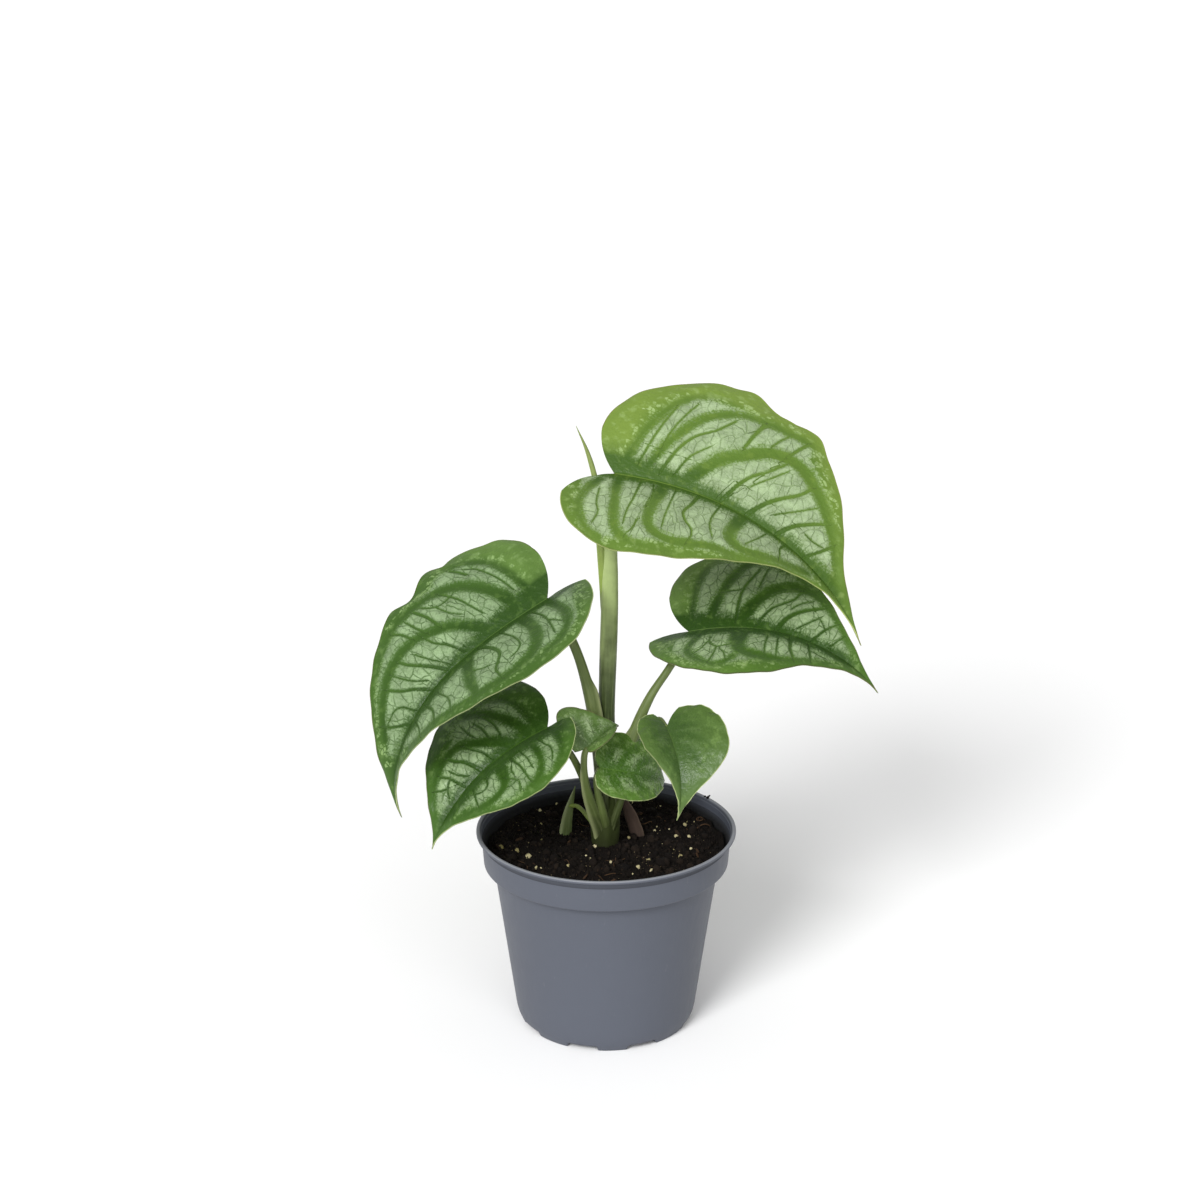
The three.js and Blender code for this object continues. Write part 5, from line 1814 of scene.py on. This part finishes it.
    def roots(self, materials: Materials) -> None:
        """Lays a brown coil of fibre, a thin root and a few bits of fibre on the soil."""
        turns = np.linspace(0, 2 * np.pi * 1.6, 15)
        coil = np.stack([
            44.6 + (2.0 - 0.1 * turns) * np.cos(turns),
            25.4 + (2.6 - 0.15 * turns) * np.sin(turns),
            87.2 + 0.12 * turns,
        ], -1)
        root = np.array([(42.6, 15.4, 87.4), (45.6, 17.6, 88.4), (48.2, 19.0, 87.6), (49.6, 18.2, 86.6)])
        lines = [coil, root]
        rng = np.random.default_rng(5)
        for _ in range(self.fibre_count):
            x, y = rng.uniform(-36, 36, 2)
            heading, length = rng.uniform(0, 2 * np.pi), rng.uniform(4, 11)
            t = np.linspace(0, 1, 5)
            px = x + length * t * np.cos(heading) + rng.normal(0, 0.5, 5)
            py = y + length * t * np.sin(heading) + rng.normal(0, 0.5, 5)
            if off_stem(px, py).min() < self.fibre_gap:
                continue
            lines.append(np.stack([px, py, self.surface(px, py) + 0.35], -1))
        shells = []
        for k, line in enumerate(lines):
            radius = 0.34 if k < 2 else 0.2
            tube = Stalk("fibre", "", "", "", tuple(map(tuple, line)), (radius,) * 3 + (radius * 0.5,),
                         groove=0.0, sides=6, step=0.9, reference=(0.0, 0.0, 1.0)).shell()
            tube.values = {"tone": np.full(len(tube.points), rng.uniform(0, 1))}
            shells.append(tube)
        joined(shells).piece("fibres", materials["fibre"], "soil")

    def build(self, materials: Materials) -> None:
        """Makes the ground and all that lies on it."""
        self.ground(materials)
        for kind in self.kinds:
            self.lumps(kind, materials)
        self.perlite(materials)
        self.rim_bits(materials)
        self.roots(materials)


# Picture

@dataclass(frozen=True)
class Studio:
    """White floor, soft light from the front left, and the picture's camera."""

    camera_place: Place = (-2.74, -1141.4, 604.5)
    camera_pitch: float = 70.77
    lens: float = 80.67
    floor_size: float = 30.0
    sun_strength: float = 2.5
    sun_spread: float = 22.0
    sun_height: float = 34.0
    sun_turn: float = -26.0
    fill_strength: float = 1.45
    fill_spread: float = 70.0
    fill_height: float = 30.0
    fill_turn: float = -4.0
    world_strength: float = 0.48
    backdrop: float = 1.1

    def floor(self) -> None:
        """Makes the pale floor, which isn't part of the object."""
        s = self.floor_size
        mesh = bpy.data.meshes.new("floor")
        mesh.from_pydata([(-s, -s, 0), (s, -s, 0), (s, s, 0), (-s, s, 0)], [], [(0, 1, 2, 3)])
        material, g, principled = shader("floor", 0.9, 0.0)
        g.feed(principled, {"Base Color": (0.93, 0.93, 0.93, 1)})
        mesh.materials.append(material)
        in_scene("floor", mesh)

    def lamp(self, name: str, strength: float, spread: float, height: float, turn: float) -> None:
        """Makes a wide sun, which lights the floor evenly as far as it goes.

        Args:
            name: the lamp's name.
            strength: its strength in watts per square metre.
            spread: its width in degrees.
            height: degrees above the floor that it shines from.
            turn: degrees round the vertical from the camera's side, positive to the right.
        """
        light = bpy.data.lights.new(name, "SUN")
        light.energy, light.angle = strength, np.radians(spread)
        in_scene(name, light).rotation_euler = (np.radians(90 - height), 0, np.radians(turn))

    def surroundings(self) -> None:
        """Makes the white world that fills the shadows, with a backdrop as bright as the floor."""
        world = bpy.data.worlds.new("studio")
        world.use_nodes = True
        g = Graph(world.node_tree)
        seen = g.signal("ShaderNodeLightPath", "Is Camera Ray", {})
        strength = seen * (self.backdrop - self.world_strength) + self.world_strength
        g.feed(world.node_tree.nodes["Background"], {"Color": (1, 1, 1, 1), "Strength": strength})
        bpy.context.scene.world = world

    def build(self) -> None:
        """Makes the floor, the light and the camera."""
        self.floor()
        self.lamp("key", self.sun_strength, self.sun_spread, self.sun_height, self.sun_turn)
        self.lamp("fill", self.fill_strength, self.fill_spread, self.fill_height, self.fill_turn)
        self.surroundings()
        scene = bpy.context.scene
        camera = in_scene("camera", bpy.data.cameras.new("camera"))
        camera.data.lens = self.lens
        camera.data.sensor_width = 36.0
        camera.location = np.array(self.camera_place) * MM
        camera.rotation_euler = (np.radians(self.camera_pitch), 0, 0)
        scene.camera = camera
        scene.view_settings.view_transform = "Standard"


def finishes() -> Materials:
    """Builds the shared node groups and every finish, by name."""
    groups = {"mottle": mottle_group(), "marking": marking_group()}
    leaf = LeafFinish("leaf_mature", green=(58, 87, 31), dark=(40, 67, 18), margin=(88, 116, 54),
                      silver=(136, 159, 118), under=(124, 142, 88), strength=0.94)
    made = {
        "leaf_top": LeafFinish("leaf_young", green=(85, 112, 42), dark=(56, 84, 24), margin=(107, 130, 54),
                               silver=(156, 175, 136), under=(146, 164, 96), strength=0.94, vein_shade=0.4,
                               cracks=0.45, edge_line=(112, 100, 58), edge_highlight=(178, 186, 120)),
        "leaf_left": leaf,
        # lighter copy of the mature finish for the leaf in leaf_top's shadow: painted light that offsets the
        # shade
        "leaf_right": replace(leaf, name="leaf_shaded", green=(66, 96, 34), margin=(102, 130, 64),
                              silver=(148, 168, 128), flecks=0.6),
        "leaf_low_left": replace(leaf, name="leaf_lower", green=(58, 88, 32), margin=(74, 104, 42),
                                 silver=(142, 164, 122), flecks=0.3),
        "leaf_centre": LeafFinish("leaf_glossy", green=(73, 103, 40), dark=(56, 86, 28), margin=(82, 112, 46),
                                  silver=(158, 180, 132), under=(110, 128, 84), strength=0.62, vein_shade=0.3,
                                  flecks=0.6, fray=1.5, relief=0.0008, gloss=0.27),
        "leaf_heart": LeafFinish("leaf_dark", green=(74, 98, 48), dark=(58, 82, 38), margin=(82, 106, 52),
                                 silver=(122, 146, 96), under=(110, 128, 84), strength=0.26, vein_shade=0.4,
                                 flecks=0.4, fray=1.5, relief=0.0006, gloss=0.3),
        "leaf_curled": LeafFinish("leaf_curled", green=(84, 110, 56), dark=(66, 90, 42), margin=(92, 118, 60),
                                  silver=(148, 166, 126), under=(104, 120, 78), strength=0.8, vein_shade=0.4,
                                  fray=1.5, relief=0.0006, gloss=0.3),
        "petiole": StalkFinish("petiole", (40, 48, 22), (88, 102, 54), (150, 158, 112), (0.1, 0.6)),
        "petiole_top": StalkFinish("petiole_top", (48, 60, 26), (150, 166, 108), (154, 170, 112),
                                   (0.36, 0.82)),
        "spear": StalkFinish("spear", (126, 146, 66), (112, 126, 68), (146, 164, 90)),
        "scale": StalkFinish("scale", (68, 82, 42), (104, 118, 72), (150, 160, 118)),
        "dry": StalkFinish("dry", (56, 45, 38), (76, 62, 54), (104, 88, 74), roughness=0.85),
        "stem": StalkFinish("stem", (24, 22, 12), (48, 58, 22), (70, 80, 40), (0.0, 0.75), roughness=0.6),
        # grey-blue; lighter for scuffs and the painted lip highlight; near black for the inner wall's painted
        # shade and soil dirt
        "pot": PotFinish("pot", (77, 81, 91), (138, 140, 146), (12, 11, 11)),
        "soil": MottledFinish("soil", (19, 15, 12), 0.95, 260.0, 0.9, 0.0006, 0.12),
        "crumb": GrainFinish("crumb", (12, 9, 8), (31, 24, 18), 0.95, 0.0003),
        "chip": GrainFinish("chip", (26, 19, 14), (64, 46, 31), 0.85, 0.0002),
        "speck": GrainFinish("speck", (50, 40, 28), (124, 112, 84), 0.9, 0.0001),
        "perlite": GrainFinish("perlite", (136, 126, 82), (200, 190, 152), 0.85, 0.0003),
        "fibre": GrainFinish("fibre", (48, 34, 24), (88, 66, 46), 0.85, 0.0001),
    }
    return {name: finish.material(groups) for name, finish in made.items()}


def main() -> None:
    """Builds the plant, the pot, the soil and the studio."""
    materials = finishes()
    Studio().build()
    Pot().build(materials)
    SoilBed().build(materials)
    StemBase().build(materials)
    for stalk in STALKS:
        stalk.build(materials)
    for leaf in LEAVES:
        leaf.build(materials)


if __name__ == "__main__":
    main()
